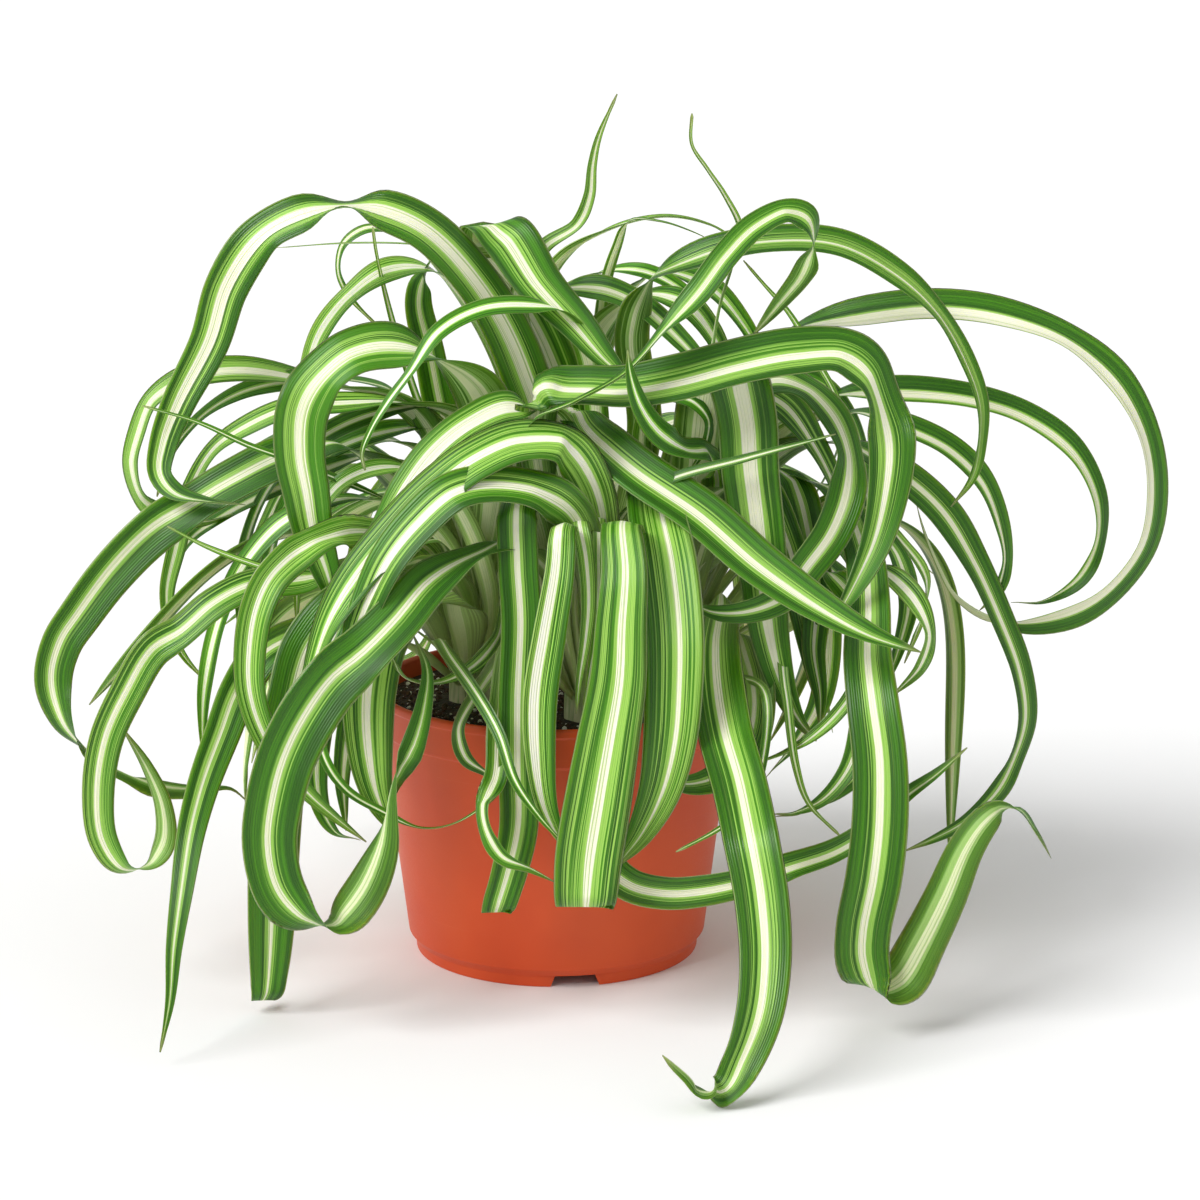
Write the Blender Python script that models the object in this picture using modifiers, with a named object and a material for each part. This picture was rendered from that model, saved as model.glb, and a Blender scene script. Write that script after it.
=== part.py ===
"""Potted spider plant with curly, striped leaves: four plants in a plastic nursery pot full of soil.

Metres, +Z up. The origin is on the pot's axis, in the plane that it stands on, and -Y is the front.
Sizes below are in millimetres, and MM turns them into metres.
"""

import bmesh
import bpy
import numpy as np
from mathutils import Matrix
from mathutils.bvhtree import BVHTree

MM = 0.001

# Pot: a 12 cm nursery pot with a rolled lip and a band below it. It stands on a skirt and a middle pad,
# and drains through holes in the raised floor between them and slots in the skirt.
POT_SIDES = 40
POT_HEIGHT = 90.0
RIM_RADIUS = 60.0
LIP_HEIGHT = 3.2
BAND_RADIUS = 59.3
BAND_FOOT = 76.5
WALL_TOP_RADIUS = 58.1
WALL_FOOT_RADIUS = 49.4
STEP_HEIGHT = 6.4
FOOT_RADIUS = 47.2
FOOT_HEIGHT = 3.6
WALL = 1.6
SKIRT = 2.4
PAD_RADIUS = 24.0
PAD_SLOPE = 1.5
RAISED_FLOOR = 4.8
SLOTS = 3
SLOT_BEARING = -82.0
SLOT_WIDTHS = (16.0, 12.7)
SLOT_HEIGHT = 4.0
SLOT_REACH = 43.0
TAB_WIDTHS = (28.0, 27.0)
TAB_HEIGHT = 4.0
TAB_REACH = 45.8
DRAINS = 6
DRAIN_RADIUS = 4.0
DRAIN_DISTANCE = 36.0

# Soil: fills the pot to a little below the lip and rises a little towards the middle.
CLEARANCE = 0.3
SOIL_SIDES = 26
SOIL_EDGE = 83.5
SOIL_TOP = 86.0

# Crowns: short stems, each in a plain hole in the soil. The leaves grow from a ring near their top.
CROWNS = {
    "plant_front": (10.0, -26.0),
    "plant_left": (-28.0, -4.0),
    "plant_right": (34.0, -2.0),
    "plant_back": (4.0, 32.0),
}
ROUND_SIDES = 10
CROWN_RADIUS = 8.0
CROWN_TOP_RADIUS = 6.6
CROWN_FOOT = 70.0
CROWN_TOP = 110.0
LEAF_RING = 3.0
LEAF_FOOT = 90.0

# Blades: flat ribbons of one thickness, narrower at the foot and running out to a thin tip.
BLADE = 0.75
TIP_WIDTH = 1.2
FOOT_SHARE = 0.3
CURVE_STEPS = 24
CURVE_ROWS = 161

WAYS = {
    "F": (0, -1, 0),
    "B": (0, 1, 0),
    "L": (-1, 0, 0),
    "R": (1, 0, 0),
    "U": (0, 0, 1),
    "D": (0, 0, -1),
}

# The leaves that give the bunch its outline: name, width, the share of its length where it is first
# that wide, how blunt the tip is, and a route of points "across depth height way". The way is where
# the blade's upper side looks there: Front, Back, Left, Right, Up, Down, or halfway between two or
# three of these.
LEAVES = {
    "plant_front": (
        ("front loop", 20.5, 0.5, 3.5,
         "6 -30 118 B, -3 -44 141 UB, -14 -55 149 U, -26 -63 148 U, -38 -73 142 UF, -48 -82 132 UF, "
         "-58 -88 123 UF, -67 -92 115 F, -74 -95 106 F, -81 -97 93 F, -85 -99 80 F, "
         "-87 -100 65 F, -84 -101 50 F, -77 -101 41 FD, -68 -99 38 D, -60 -96 46 DB, -52 -93 62 BR, "
         "-48 -88 80 R, -43 -84 93 F, -40 -82 104 F, -39 -80 115 F, -43 -80 126 F"),
        ("cream arch", 13, 0.45, 8,
         "6 -25 133 B, 4 -30 170 B, -2 -34 186 UB, -14 -38 190 UF, -26 -43 186 UF, -37 -48 178 UF, "
         "-46 -53 167 UF, -54 -56 155 UFL, -60 -57 144 FL, -64 -56 134 FL"),
        ("left arch 1", 16, 0.5, 7,
         "17 -36 122 F, 16 -43 145 F, 12 -50 167 F, 3 -55 181 FU, -10 -58 183 FU, -24 -62 178 FU, "
         "-38 -66 168 UF, -50 -70 156 UF, -61 -73 143 FU, -70 -76 129 FL, -75 -78 115 FL, -78 -79 99 F"),
        ("left arch 2", 15, 0.5, 7,
         "12 -38 120 F, 11 -48 142 F, 6 -56 159 F, -5 -62 168 FU, -20 -66 171 FU, -31 -69 169 FU, "
         "-42 -72 160 UF, -51 -75 149 UF, -57 -77 137 FU, -62 -79 123 F, -64 -80 109 F"),
        ("pale fall", 12, 0.8, 8,
         "3 -40 120 B, 3 -50 142 B, 4 -58 155 U, 3 -66 156 UF, 2 -73 144 F, -1 -78 126 F, -4 -82 106 F, "
         "-4 -84 89 F, -2 -85 73 F, 4 -85 58 F"),
        ("dark fall", 13, 0.3, 14,
         "-1 -34 125 B, -4 -42 150 B, -8 -50 163 U, -11 -57 161 UF, -11 -63 145 F, -10 -67 127 F, "
         "-11 -71 103 F, -11 -74 81 F, -11 -77 63 F, -14 -79 49 F, -17 -79 39 F, "
         "-18 -76 35 D, -15 -73 41 B, -12 -72 52 B"),
        ("middle fall", 27.5, 1.2, 12,
         "27 -36 119 B, 25 -50 144 B, 22 -62 157 U, 21 -72 158 UF, 22 -83 147 F, 21 -89 132 F, "
         "20 -93 115 F, 17 -96 97 F, 14 -98 79 F, 11 -99 60 F, 10 -99 47 F, 10 -95 43 D, 12 -91 49 B, "
         "14 -89 61 B"),
        ("broad fall", 20.5, 0.6, 7,
         "34 -28 119 B, 33 -29 148 B, 31 -32 163 U, 31 -39 165 UF, 32 -53 159 F, 35 -71 146 F, "
         "37 -83 128 F, 37 -89 111 F, 36 -92 96 F, 33 -92 80 F, 27 -91 66 F, 19 -89 54 F"),
        ("low swag", 12, 0.28, 5,
         "26 -34 128 B, 23 -48 135 U, 21 -60 125 F, 19 -70 103 F, 16 -76 82 F, 15 -80 65 F, "
         "17 -83 53 F, 24 -85 47 F, 35 -87 45 F, 46 -88 46 F, 60 -88 49 F, 74 -87 54 FU, 87 -85 58 FU, "
         "96 -83 63 FU, 110 -80 75 FU, 119 -78 81 FU, 129 -76 89 FU"),
        ("diagonal", 20.5, 0.8, 5,
         "1 -10 133 B, 0 -16 161 B, 2 -22 180 UB, 6 -29 186 U, 14 -38 180 UF, 27 -48 171 UF, "
         "46 -58 160 UF, 64 -68 146 UF, 82 -77 135 UF, 97 -84 128 UF, 113 -89 123 UF"),
        ("crown band", 19, 0.6, 7,
         "-2 -14 134 B, -4 -28 163 B, -6 -36 184 B, -3 -42 196 FU, 8 -45 198 FU, 22 -47 198 FU, "
         "39 -48 201 FU, 58 -47 206 FU, 75 -46 209 FU, 90 -45 209 FU, 99 -45 203 FR, 104 -46 192 FR, "
         "106 -48 180 F, 105 -50 165 F, 101 -53 149 F, 94 -57 135 F, 87 -60 125 FL"),
        ("twisted loop", 10, 0.85, 12,
         "-8 -42 147 B, -13 -48 172 U, -6 -51 188 U, 7 -53 195 U, 22 -54 204 U, 34 -52 217 U, "
         "45 -48 228 UF, 54 -42 239 UF, 63 -36 247 UF, 73 -32 251 UF, 80 -30 248 RF, 82 -29 239 R, "
         "78 -28 230 B, 71 -28 221 B, 63 -28 211 B"),
        ("young fall 1", 6.5, 0.6, 4,
         "7 -36 122 B, 7 -43 145 B, 8 -48 157 U, 8 -54 156 UF, 10 -60 147 F, 11 -63 133 F, 10 -65 121 F, "
         "8 -66 108 F, 7 -66 97 F"),
        ("young fall 2", 5, 0.5, 4,
         "13 -36 123 B, 14 -41 145 B, 14 -45 155 U, 14 -50 155 UF, 14 -56 145 F, 14 -59 133 F, "
         "13 -61 120 F, 11 -62 108 F, 9 -62 96 F"),
        ("straight thread", 4.2, 0.28, 5,
         "14 -26 130 U, 22 -40 156 U, 35 -48 168 UF, 60 -51 176 UF, 88 -53 184 UF"),
        ("hook 1", 7, 0.28, 5,
         "-5 -40 114 U, -13 -50 114 UF, -23 -58 104 FL, -30 -64 92 FL, -28 -66 83 F, -22 -66 78 FD, "
         "-13 -64 73 FD"),
        ("hook 2", 8.5, 0.28, 5,
         "-12 -56 118 F, -17 -67 95 F, -18 -77 80 F, -22 -85 73 FL, -21 -89 66 FL, -16 -91 58 F, "
         "-7 -92 54 FD, 1 -92 50 FD"),
        ("pale loop", 8, 0.28, 5,
         "18 -30 127 B, 15 -36 157 B, 10 -41 175 B, 1 -46 186 U, -9 -51 184 UF, -17 -56 176 FL"),
    ),
    "plant_left": (
        ("high loop", 17, 0.35, 5,
         "-3 2 160 FU, -11 -3 197 FU, -23 -8 222 FU, -40 -14 242 FU, -54 -16 249 UF, -66 -16 251 U, "
         "-80 -16 248 UF, -93 -16 241 UF, -104 -17 225 F, -110 -19 207 F, -120 -22 188 F, "
         "-125 -24 175 F, -126 -27 166 F, -121 -31 161 UF, -109 -35 159 U, -98 -37 158 U"),
        ("low loop", 11, 0.28, 5,
         "-28 0 157 B, -50 -2 184 UB, -73 -3 191 U, -102 -5 196 UF, -118 -8 194 UF, -130 -10 187 UFL, "
         "-135 -12 176 FL, -137 -14 166 FL, -134 -14 155 FL, -126 -13 149 F, -114 -10 146 FD, "
         "-103 -5 149 D, -97 0 155 D"),
        ("far sweep", 16.5, 0.28, 4,
         "-34 -8 132 B, -50 -12 161 UB, -69 -17 173 U, -86 -22 171 UF, -104 -26 163 UF, "
         "-116 -28 156 FU, -129 -30 147 F, -142 -32 134 F, -152 -34 121 F, -158 -35 112 F, "
         "-161 -36 100 F, -158 -38 86 FL, -150 -38 75 LD, -139 -38 68 D, -129 -36 64 DB, "
         "-118 -33 62 DB, -106 -30 62 D, -100 -28 57 L"),
        ("hooked sweep", 12, 0.28, 5,
         "-40 -20 125 B, -54 -28 134 UB, -72 -34 135 U, -81 -38 134 UF, -97 -43 133 UF, "
         "-108 -47 128 UF, -118 -50 120 UF, -127 -52 114 F, -135 -54 101 F, -142 -55 86 F, "
         "-145 -56 69 F, -144 -56 53 F, -138 -55 43 FD, -130 -53 43 D, -125 -51 50 DB, -125 -50 62 B, "
         "-130 -49 75 B, -138 -48 88 B"),
        ("long point", 15, 0.28, 2,
         "-50 -30 112 U, -65 -36 117 U, -79 -42 117 UF, -91 -48 113 UF, -99 -56 103 F, "
         "-104 -67 91 F, -109 -80 78 F, -112 -92 66 F, -114 -103 51 F, -116 -111 35 F, -117 -117 20 F, "
         "-120 -121 5 F"),
        ("straight drop", 17, 0.28, 12,
         "-49 -40 130 U, -66 -50 129 UF, -77 -56 118 UF, -82 -62 101 F, -86 -67 79 F, -88 -71 57 F, "
         "-89 -74 35 F, -90 -76 17 F, -91 -75 8 FD, -93 -71 4 D, -93 -66 9 B"),
        ("striped drop", 18.5, 0.28, 7,
         "-33 -36 126 U, -46 -46 127 U, -54 -54 120 F, -58 -60 103 F, -58 -64 86 F, -56 -66 72 F, "
         "-51 -66 58 F"),
        ("thin swag", 4, 0.28, 5,
         "-37 -30 144 U, -55 -46 139 U, -67 -64 125 UF, -73 -71 106 F, -72 -75 87 F, -65 -77 76 UF, "
         "-53 -79 69 UF, -42 -79 64 U, -32 -79 65 U, -23 -79 70 UF, -17 -79 75 F"),
        ("near arch", 18, 0.35, 9,
         "-25 -6 122 B, -20 -15 164 B, -24 -24 192 UB, -37 -31 205 U, -51 -35 209 UF, -64 -38 207 UF, "
         "-74 -40 199 UF, -79 -42 189 F, -80 -43 176 F, -78 -44 163 F, -76 -44 150 F, -72 -44 137 F, "
         "-69 -42 123 F"),
        ("left hoop", 12.5, 0.35, 4,
         "-34 -14 122 F, -41 -27 140 F, -51 -38 147 F, -60 -44 150 F, -68 -51 152 FU, -75 -60 151 FU, "
         "-82 -67 147 F, -88 -71 141 F, -92 -74 132 F, -94 -76 120 F, -94 -77 108 F, -91 -77 96 F, "
         "-85 -76 84 F, -75 -75 72 F, -67 -73 64 F, -59 -72 57 F"),
        ("fan 1", 9, 0.28, 5,
         "-18 0 151 B, -31 -5 180 UB, -50 -8 186 U, -69 -11 186 UF, -85 -14 185 UF, -98 -16 180 UF, "
         "-110 -17 172 UFL, -118 -18 158 FL, -122 -17 141 F, -126 -16 124 F, -125 -15 111 F, "
         "-121 -14 102 F, -114 -12 93 F"),
        ("fan 2", 8.5, 0.28, 5,
         "-12 4 150 B, -23 -1 178 UB, -42 -4 184 U, -61 -6 181 UF, -79 -8 172 UF, -93 -9 158 UFL, "
         "-101 -10 139 FL, -103 -10 119 F, -102 -10 100 F"),
        ("fan 3", 8.5, 0.28, 5,
         "-15 2 143 B, -28 0 170 UB, -42 0 176 U, -59 0 174 UF, -75 0 167 UF, -87 0 153 UFL, "
         "-94 0 134 FL, -97 0 111 F, -96 0 91 F"),
        ("fan 4", 7, 0.28, 5,
         "-21 -14 120 B, -32 -20 155 UB, -46 -25 167 U, -58 -28 168 UF, -69 -30 163 UF, -77 -31 151 FL, "
         "-82 -31 134 F, -83 -30 116 F"),
        ("thread 1", 3.5, 0.28, 5,
         "-40 -24 110 U, -58 -29 124 U, -75 -31 132 U, -94 -33 137 UF, -111 -35 144 UF, -123 -37 151 UF"),
        ("thread 2", 3.2, 0.28, 5,
         "-28 -12 133 U, -50 -22 154 U, -68 -28 164 UF, -86 -31 172 UF, -97 -31 176 UF, "
         "-113 -29 183 UF, -131 -27 188 UF"),
        ("pale thread", 4.8, 0.28, 5,
         "-36 -56 118 U, -25 -70 106 F, -17 -81 95 F, -12 -88 82 F, -5 -91 72 F, 4 -93 62 F"),
        ("low hoop", 6, 0.28, 5,
         "-8 -28 127 U, -15 -38 126 FR, -18 -44 116 FR, -26 -49 108 FU, -37 -53 104 U, -47 -57 107 U, "
         "-52 -61 116 L"),
        ("under arch 1", 9, 0.28, 5,
         "-33 -2 151 B, -42 -3 178 UB, -53 -4 189 U, -70 -4 193 U, -86 -4 192 UF, -102 -3 188 UF, "
         "-115 -2 180 UFL, -125 -2 168 FL, -130 -2 153 F"),
        ("under arch 2", 9.5, 0.28, 5,
         "-32 8 143 B, -40 12 162 UB, -55 14 169 U, -71 14 166 UF, -86 13 156 UF, -96 11 140 FL, "
         "-101 9 122 F, -103 8 102 F"),
        ("under arch 3", 8, 0.28, 5,
         "-33 -2 138 B, -42 -3 160 UB, -60 -4 167 U, -76 -5 163 UF, -93 -6 156 UF, -108 -6 148 UF, "
         "-120 -7 139 FL, -127 -8 123 FL"),
        ("side drop", 9, 0.28, 5,
         "-33 -16 135 B, -47 -22 153 UB, -65 -26 158 U, -85 -28 152 UF, -99 -30 138 FL, "
         "-108 -31 119 FL, -113 -32 96 F, -114 -34 73 F"),
        ("low drop 1", 10.5, 0.28, 6,
         "-32 -26 127 B, -44 -36 139 UB, -59 -46 132 UF, -69 -52 111 F, -75 -55 86 F, -75 -55 66 F, "
         "-70 -55 55 FD, -62 -54 52 D"),
        ("low drop 2", 9, 0.28, 6,
         "-30 -20 126 B, -42 -30 135 UB, -54 -38 124 UF, -63 -43 99 F, -68 -46 73 F, -67 -47 53 F"),
    ),
    "plant_right": (
        ("forward drop", 17.5, 0.4, 8,
         "45 -15 105 B, 52 -27 119 UB, 53 -41 125 U, 51 -57 119 UF, 51 -72 109 F, 53 -87 97 F, "
         "57 -105 85 F, 60 -122 73 F, 63 -131 57 F, 64 -139 41 F, 62 -147 26 F, 57 -152 13 F, "
         "51 -155 5 FL, 44 -157 5 LD, 39 -157 10 LD, 33 -155 16 LDB"),
        ("upright drop", 20.5, 0.35, 5,
         "44 -6 132 B, 47 -14 167 B, 50 -22 194 B, 54 -28 203 UB, 58 -35 198 FU, 61 -38 185 F, "
         "62 -42 169 F, 64 -46 154 F, 66 -49 139 F, 68 -52 120 F, 72 -55 104 F, 77 -57 93 F, 83 -58 86 F"),
        ("dark drop", 13, 0.28, 5,
         "47 0 130 B, 63 -8 165 UB, 76 -16 162 U, 82 -26 143 UF, 84 -33 125 F, 83 -37 110 F, "
         "85 -40 96 F, 85 -41 85 F"),
        ("inner hoop", 13, 0.28, 9,
         "44 0 144 B, 55 -8 179 UB, 69 -16 194 UF, 80 -22 193 UFR, 89 -27 185 FR, 94 -31 173 FR, "
         "93 -36 162 F, 88 -42 150 F, 80 -50 141 F, 72 -58 133 F, 61 -61 129 F, 50 -62 129 F, 42 -60 132 F"),
        ("right fold", 18.5, 0.65, 7,
         "54 4 129 B, 73 -8 159 UB, 90 -22 159 U, 98 -38 144 UF, 99 -54 130 F, 98 -68 117 F, "
         "99 -79 105 F, 101 -87 88 F, 101 -93 71 F, 99 -97 53 F, 96 -98 37 F, 96 -98 26 FD, "
         "100 -96 16 D, 108 -93 18 DB, 115 -91 30 B, 122 -90 45 B, 128 -89 60 B, 134 -88 69 B, "
         "139 -87 73 BU, 145 -87 72 U, 151 -87 64 R, 155 -86 56 R"),
        ("long fall", 12.5, 0.28, 5,
         "54 10 142 B, 75 4 168 UB, 94 -2 171 U, 112 -6 162 UF, 126 -9 150 UF, 137 -12 133 FR, "
         "145 -14 116 FR, 152 -16 98 FR, 154 -18 82 FR, 150 -20 68 FR, 144 -22 58 F, 134 -24 49 F, "
         "124 -26 44 F, 114 -27 40 F"),
        ("small hoop", 9.5, 0.28, 9,
         "57 14 147 B, 78 9 174 UB, 98 6 180 U, 114 4 176 UF, 129 2 169 UF, 140 1 158 FR, 146 0 144 FR, "
         "148 -1 131 FR, 145 -2 121 F, 139 -3 115 FD"),
        ("middle hoop", 10.5, 0.28, 5,
         "61 22 156 B, 77 18 178 UB, 92 16 184 U, 110 14 186 UF, 136 12 184 UF, 155 10 178 UF, "
         "171 9 166 FR, 179 8 150 FR, 179 7 135 FR, 173 6 123 F, 161 5 116 DF, 150 4 116 D"),
        ("dark curl", 11, 0.28, 5,
         "44 -6 125 B, 52 -20 161 UF, 49 -32 174 FU, 42 -40 177 FU, 33 -50 184 F, 27 -57 194 F, "
         "24 -60 204 F, 23 -61 212 F"),
        ("ring", 7, 0.28, 5,
         "32 -4 145 B, 28 -12 175 B, 32 -18 188 U, 43 -22 189 UF, 49 -24 183 FR, 48 -24 174 F, "
         "43 -22 165 F"),
        ("thin tip", 5, 0.28, 3,
         "47 16 165 R, 51 14 195 R, 54 12 214 R, 58 11 228 R, 60 10 239 FR, 55 9 250 FR, 49 8 259 FR, "
         "44 7 267 F, 44 6 277 F"),
        ("short thread", 3.6, 0.28, 5,
         "93 0 174 U, 83 5 200 UF, 76 7 212 UF, 68 8 221 UF, 61 9 229 UF"),
        ("pale twist", 6.5, 0.28, 5,
         "73 -16 134 B, 90 -28 143 U, 100 -42 127 FR, 99 -52 111 F, 91 -58 97 F, 79 -62 87 FU, "
         "67 -64 82 U, 57 -65 80 U"),
        ("crescent", 9.5, 0.28, 5,
         "79 -24 136 B, 94 -36 129 UF, 99 -48 107 F, 97 -56 90 F, 93 -61 78 F, 85 -65 69 F, "
         "76 -67 65 FD, 69 -68 65 FD"),
        ("thin drop", 3.6, 0.28, 5,
         "69 -40 120 U, 73 -58 103 F, 76 -68 81 F, 80 -73 70 F, 90 -76 60 F"),
        ("tucked leaf", 15, 0.28, 5,
         "58 -40 114 U, 63 -56 102 F, 61 -68 89 F, 53 -74 80 F, 42 -76 77 F, 32 -74 80 F"),
        ("thin point", 3.4, 0.28, 5,
         "66 -64 104 F, 65 -76 83 F, 60 -84 72 F, 51 -88 66 F, 38 -92 60 F"),
        ("side drop 1", 9.5, 0.28, 5,
         "83 -10 139 B, 98 -20 150 U, 109 -30 142 UFR, 113 -37 127 F, 110 -42 113 F, 105 -45 99 F"),
        ("side drop 2", 6, 0.28, 5,
         "89 -6 152 B, 102 -16 151 U, 112 -24 143 U, 119 -29 133 FR, 119 -32 123 R, 115 -35 113 F, "
         "112 -37 106 F"),
        ("side drop 3", 9.5, 0.28, 5,
         "89 -20 125 B, 102 -34 137 U, 113 -44 131 UF, 119 -50 119 FR, 116 -53 109 F, 107 -55 100 F"),
        ("inner fall 1", 14, 0.28, 5,
         "37 -5 139 B, 44 -7 176 UB, 56 -8 192 U, 73 -8 186 UF, 85 -9 171 UFR, 94 -9 151 FR, "
         "98 -10 130 F"),
        ("inner fall 2", 10, 0.28, 5,
         "39 6 136 B, 49 12 172 UB, 65 15 190 U, 84 17 188 UF, 97 17 176 UFR, 103 16 154 FR, "
         "103 15 131 F"),
        ("hidden fall", 12, 0.28, 6,
         "38 -14 128 B, 48 -22 156 UB, 63 -28 164 UF, 74 -32 145 F, 80 -34 119 F, 84 -35 93 F"),
        ("low curl", 11, 0.28, 5,
         "41 -6 122 B, 58 -8 140 UB, 80 -10 138 U, 99 -12 121 UFR, 107 -14 94 FR, 104 -16 71 F, "
         "93 -18 57 FD, 80 -18 50 D, 72 -18 49 D"),
        ("bent fall", 11, 0.28, 5,
         "40 -2 121 B, 52 -4 145 UB, 71 -5 149 UF, 85 -6 132 F, 89 -7 109 F, 87 -8 86 F, "
         "79 -8 71 FD, 69 -8 59 D"),
    ),
    "plant_back": (
        ("back arc", 11.5, 0.28, 5,
         "-9 24 172 B, -22 20 206 UB, -39 14 225 U, -54 10 226 UF, -67 6 218 UFL, -77 7 205 FL, "
         "-82 8 190 FL, -84 9 174 FL, -84 9 155 F"),
        ("upright fold", 12, 0.28, 5,
         "-25 20 139 F, -37 22 173 F, -42 21 198 F, -45 19 215 FU, -41 16 228 U, -33 17 233 U, "
         "-23 22 228 UB"),
        ("level thread", 3.6, 0.28, 5,
         "-4 34 177 U, -19 32 214 U, -33 28 229 U, -46 25 232 U, -67 21 233 U, -91 17 232 U"),
        ("small crook", 5.5, 0.28, 5,
         "-12 38 170 U, -35 38 216 U, -50 35 233 U, -62 33 236 UF, -70 32 231 LF, -72 32 222 LF, "
         "-68 32 213 F, -59 33 203 F"),
        ("stalk", 3, 0.28, 5,
         "-41 14 171 F, -51 11 201 F, -55 9 217 F, -58 8 232 F, -59 8 240 F"),
        ("great hoop", 12.5, 0.28, 6,
         "48 30 164 B, 64 28 195 UB, 80 26 205 U, 100 23 210 UF, 123 20 213 UF, 145 18 211 UF, "
         "168 16 203 UFR, 185 14 189 FR, 195 12 171 FR, 198 10 152 FR, 195 8 134 FR, 184 6 119 FR, "
         "172 6 111 RF, 154 7 107 DF, 142 7 110 D, 131 6 118 DL, 124 5 131 L, 120 4 142 L, 118 4 150 L"),
        ("high arc", 12, 0.28, 5,
         "29 12 171 B, 25 10 206 UB, 31 8 223 U, 47 5 232 UF, 69 3 237 UF, 92 1 236 UF, 111 -1 226 UF, "
         "124 -3 214 UFR, 133 -5 199 FR, 138 -7 185 FR, 138 -9 172 FR, 135 -11 161 F, 128 -13 152 F"),
        ("folded thread", 4.6, 0.28, 5,
         "14 32 167 B, 14 30 198 B, 16 27 217 B, 20 25 231 BU, 24 23 240 U, 34 23 240 U, 46 23 236 U, "
         "55 23 231 U"),
        ("back thread", 6, 0.28, 5,
         "-12 40 176 B, -8 39 207 B, 2 37 226 UB, 18 36 236 U, 36 36 240 U, 51 36 237 U, 63 36 229 UF"),
        ("tall tip", 8, 0.28, 3,
         "-5 14 182 B, -12 12 216 B, -4 10 233 UF, 7 9 241 UF, 11 8 250 F, 12 8 260 F, 14 8 269 F, "
         "20 8 283 F"),
        ("broad shoulder", 20, 0.28, 7,
         "3 20 170 F, -4 17 197 F, -15 13 218 F, -25 8 233 FU, -22 1 242 U, -15 -5 239 UF, "
         "-5 -12 225 UF, 7 -18 213 UF, 16 -23 203 UF, 25 -27 195 UF"),
        ("narrow arc", 8, 0.28, 5,
         "14 -6 165 B, 10 -12 203 UB, 2 -18 217 U, -8 -24 220 UF, -23 -32 220 UF, -36 -39 214 UF, "
         "-45 -44 202 UFL, -52 -47 193 FL, -57 -49 185 FL, -60 -50 177 F, -59 -51 172 F"),
        ("pale band", 12, 0.28, 5,
         "-12 26 175 B, -8 24 203 UB, 1 21 217 U, 14 17 219 UF, 28 13 214 UF, 39 8 205 UF, 48 3 195 UF, "
         "53 0 180 F"),
        ("olive band", 8, 0.28, 5,
         "-6 40 180 B, 1 38 211 UB, 14 36 221 U, 29 33 222 UF, 43 30 215 UF, 53 26 204 UF, 60 22 189 UF"),
        ("fan band 1", 12, 0.28, 6,
         "9 30 172 B, 14 28 202 UB, 28 26 215 U, 42 24 213 UF, 53 22 200 UF, 59 20 182 F"),
        ("fan band 2", 11, 0.28, 6,
         "9 36 170 B, 18 40 205 UB, 33 43 220 U, 50 45 216 UF, 63 47 202 UF, 72 48 183 F"),
    ),
}

# The other leaves follow a rule: how many each plant has, and the bearings that they fan out over.
OTHER_LEAVES = {
    "plant_back": (12, (10.0, 170.0)),
    "plant_left": (7, (90.0, 215.0)),
    "plant_right": (6, (15.0, 100.0)),
}
OTHER_WIDTHS = (8.0, 15.0)
OTHER_OPENING = 0.28
OTHER_BLUNTNESS = 5
OTHER_SEED = 11
OTHER_TRIES = 150
OTHER_SPACE = 1.8
CROWN_REACH = 16.0
LOWEST = 4.0
POT_CLEAR_RADIUS = 63.0
POT_CLEAR_HEIGHT = 92.5


def new_material(name, colour, roughness):
    material = bpy.data.materials.new(name)
    material.use_nodes = True
    shader = material.node_tree.nodes["Principled BSDF"]
    shader.inputs["Base Color"].default_value = (*colour, 1.0)
    shader.inputs["Roughness"].default_value = roughness
    shader.inputs["Metallic"].default_value = 0.0
    return material


def mesh_of(name, points, faces=(), edges=()):
    """A mesh from points in millimetres."""
    mesh = bpy.data.meshes.new(name)
    mesh.from_pydata([tuple(MM * np.asarray(p, float)) for p in points], edges, faces)
    return mesh


def add(name, mesh, collection, material=None):
    item = bpy.data.objects.new(name, mesh)
    collection.objects.link(item)
    if material:
        mesh.materials.append(material)
    return item


def turned(name, profile, sides, collection, material):
    """A solid of revolution about Z: its profile of (radius, height) runs down its outer side."""
    edges = [(i, i + 1) for i in range(len(profile) - 1)]
    mesh = mesh_of(name, [(radius, 0.0, height) for radius, height in profile], edges=edges)
    item = add(name, mesh, collection, material)
    screw = item.modifiers.new("Screw", "SCREW")
    screw.steps = screw.render_steps = sides
    screw.use_merge_vertices = True
    screw.merge_threshold = 0.00001
    screw.use_smooth_shade = True
    return item


def round_block(name, radius, top_radius, foot, top, at, collection, material=None):
    """A round stem or hole that stands at this point, with its radii at its foot and at its top."""
    shape = bmesh.new()
    bmesh.ops.create_cone(
        shape,
        cap_ends=True,
        segments=ROUND_SIDES,
        radius1=radius * MM,
        radius2=top_radius * MM,
        depth=(top - foot) * MM,
        matrix=Matrix.Translation([MM * part for part in (*at, (foot + top) / 2)]),
    )
    mesh = bpy.data.meshes.new(name)
    shape.to_mesh(mesh)
    shape.free()
    return add(name, mesh, collection, material)


def cut(item, cutter):
    cutter.hide_render = True
    cutter.display_type = "WIRE"
    boolean = item.modifiers.new(cutter.name, "BOOLEAN")
    boolean.operation = "DIFFERENCE"
    boolean.object = cutter


def wall_radius(height):
    """Outer radius of the pot's sloping wall at this height."""
    share = (height - STEP_HEIGHT) / (BAND_FOOT - STEP_HEIGHT)
    return WALL_FOOT_RADIUS + share * (WALL_TOP_RADIUS - WALL_FOOT_RADIUS)


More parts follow.
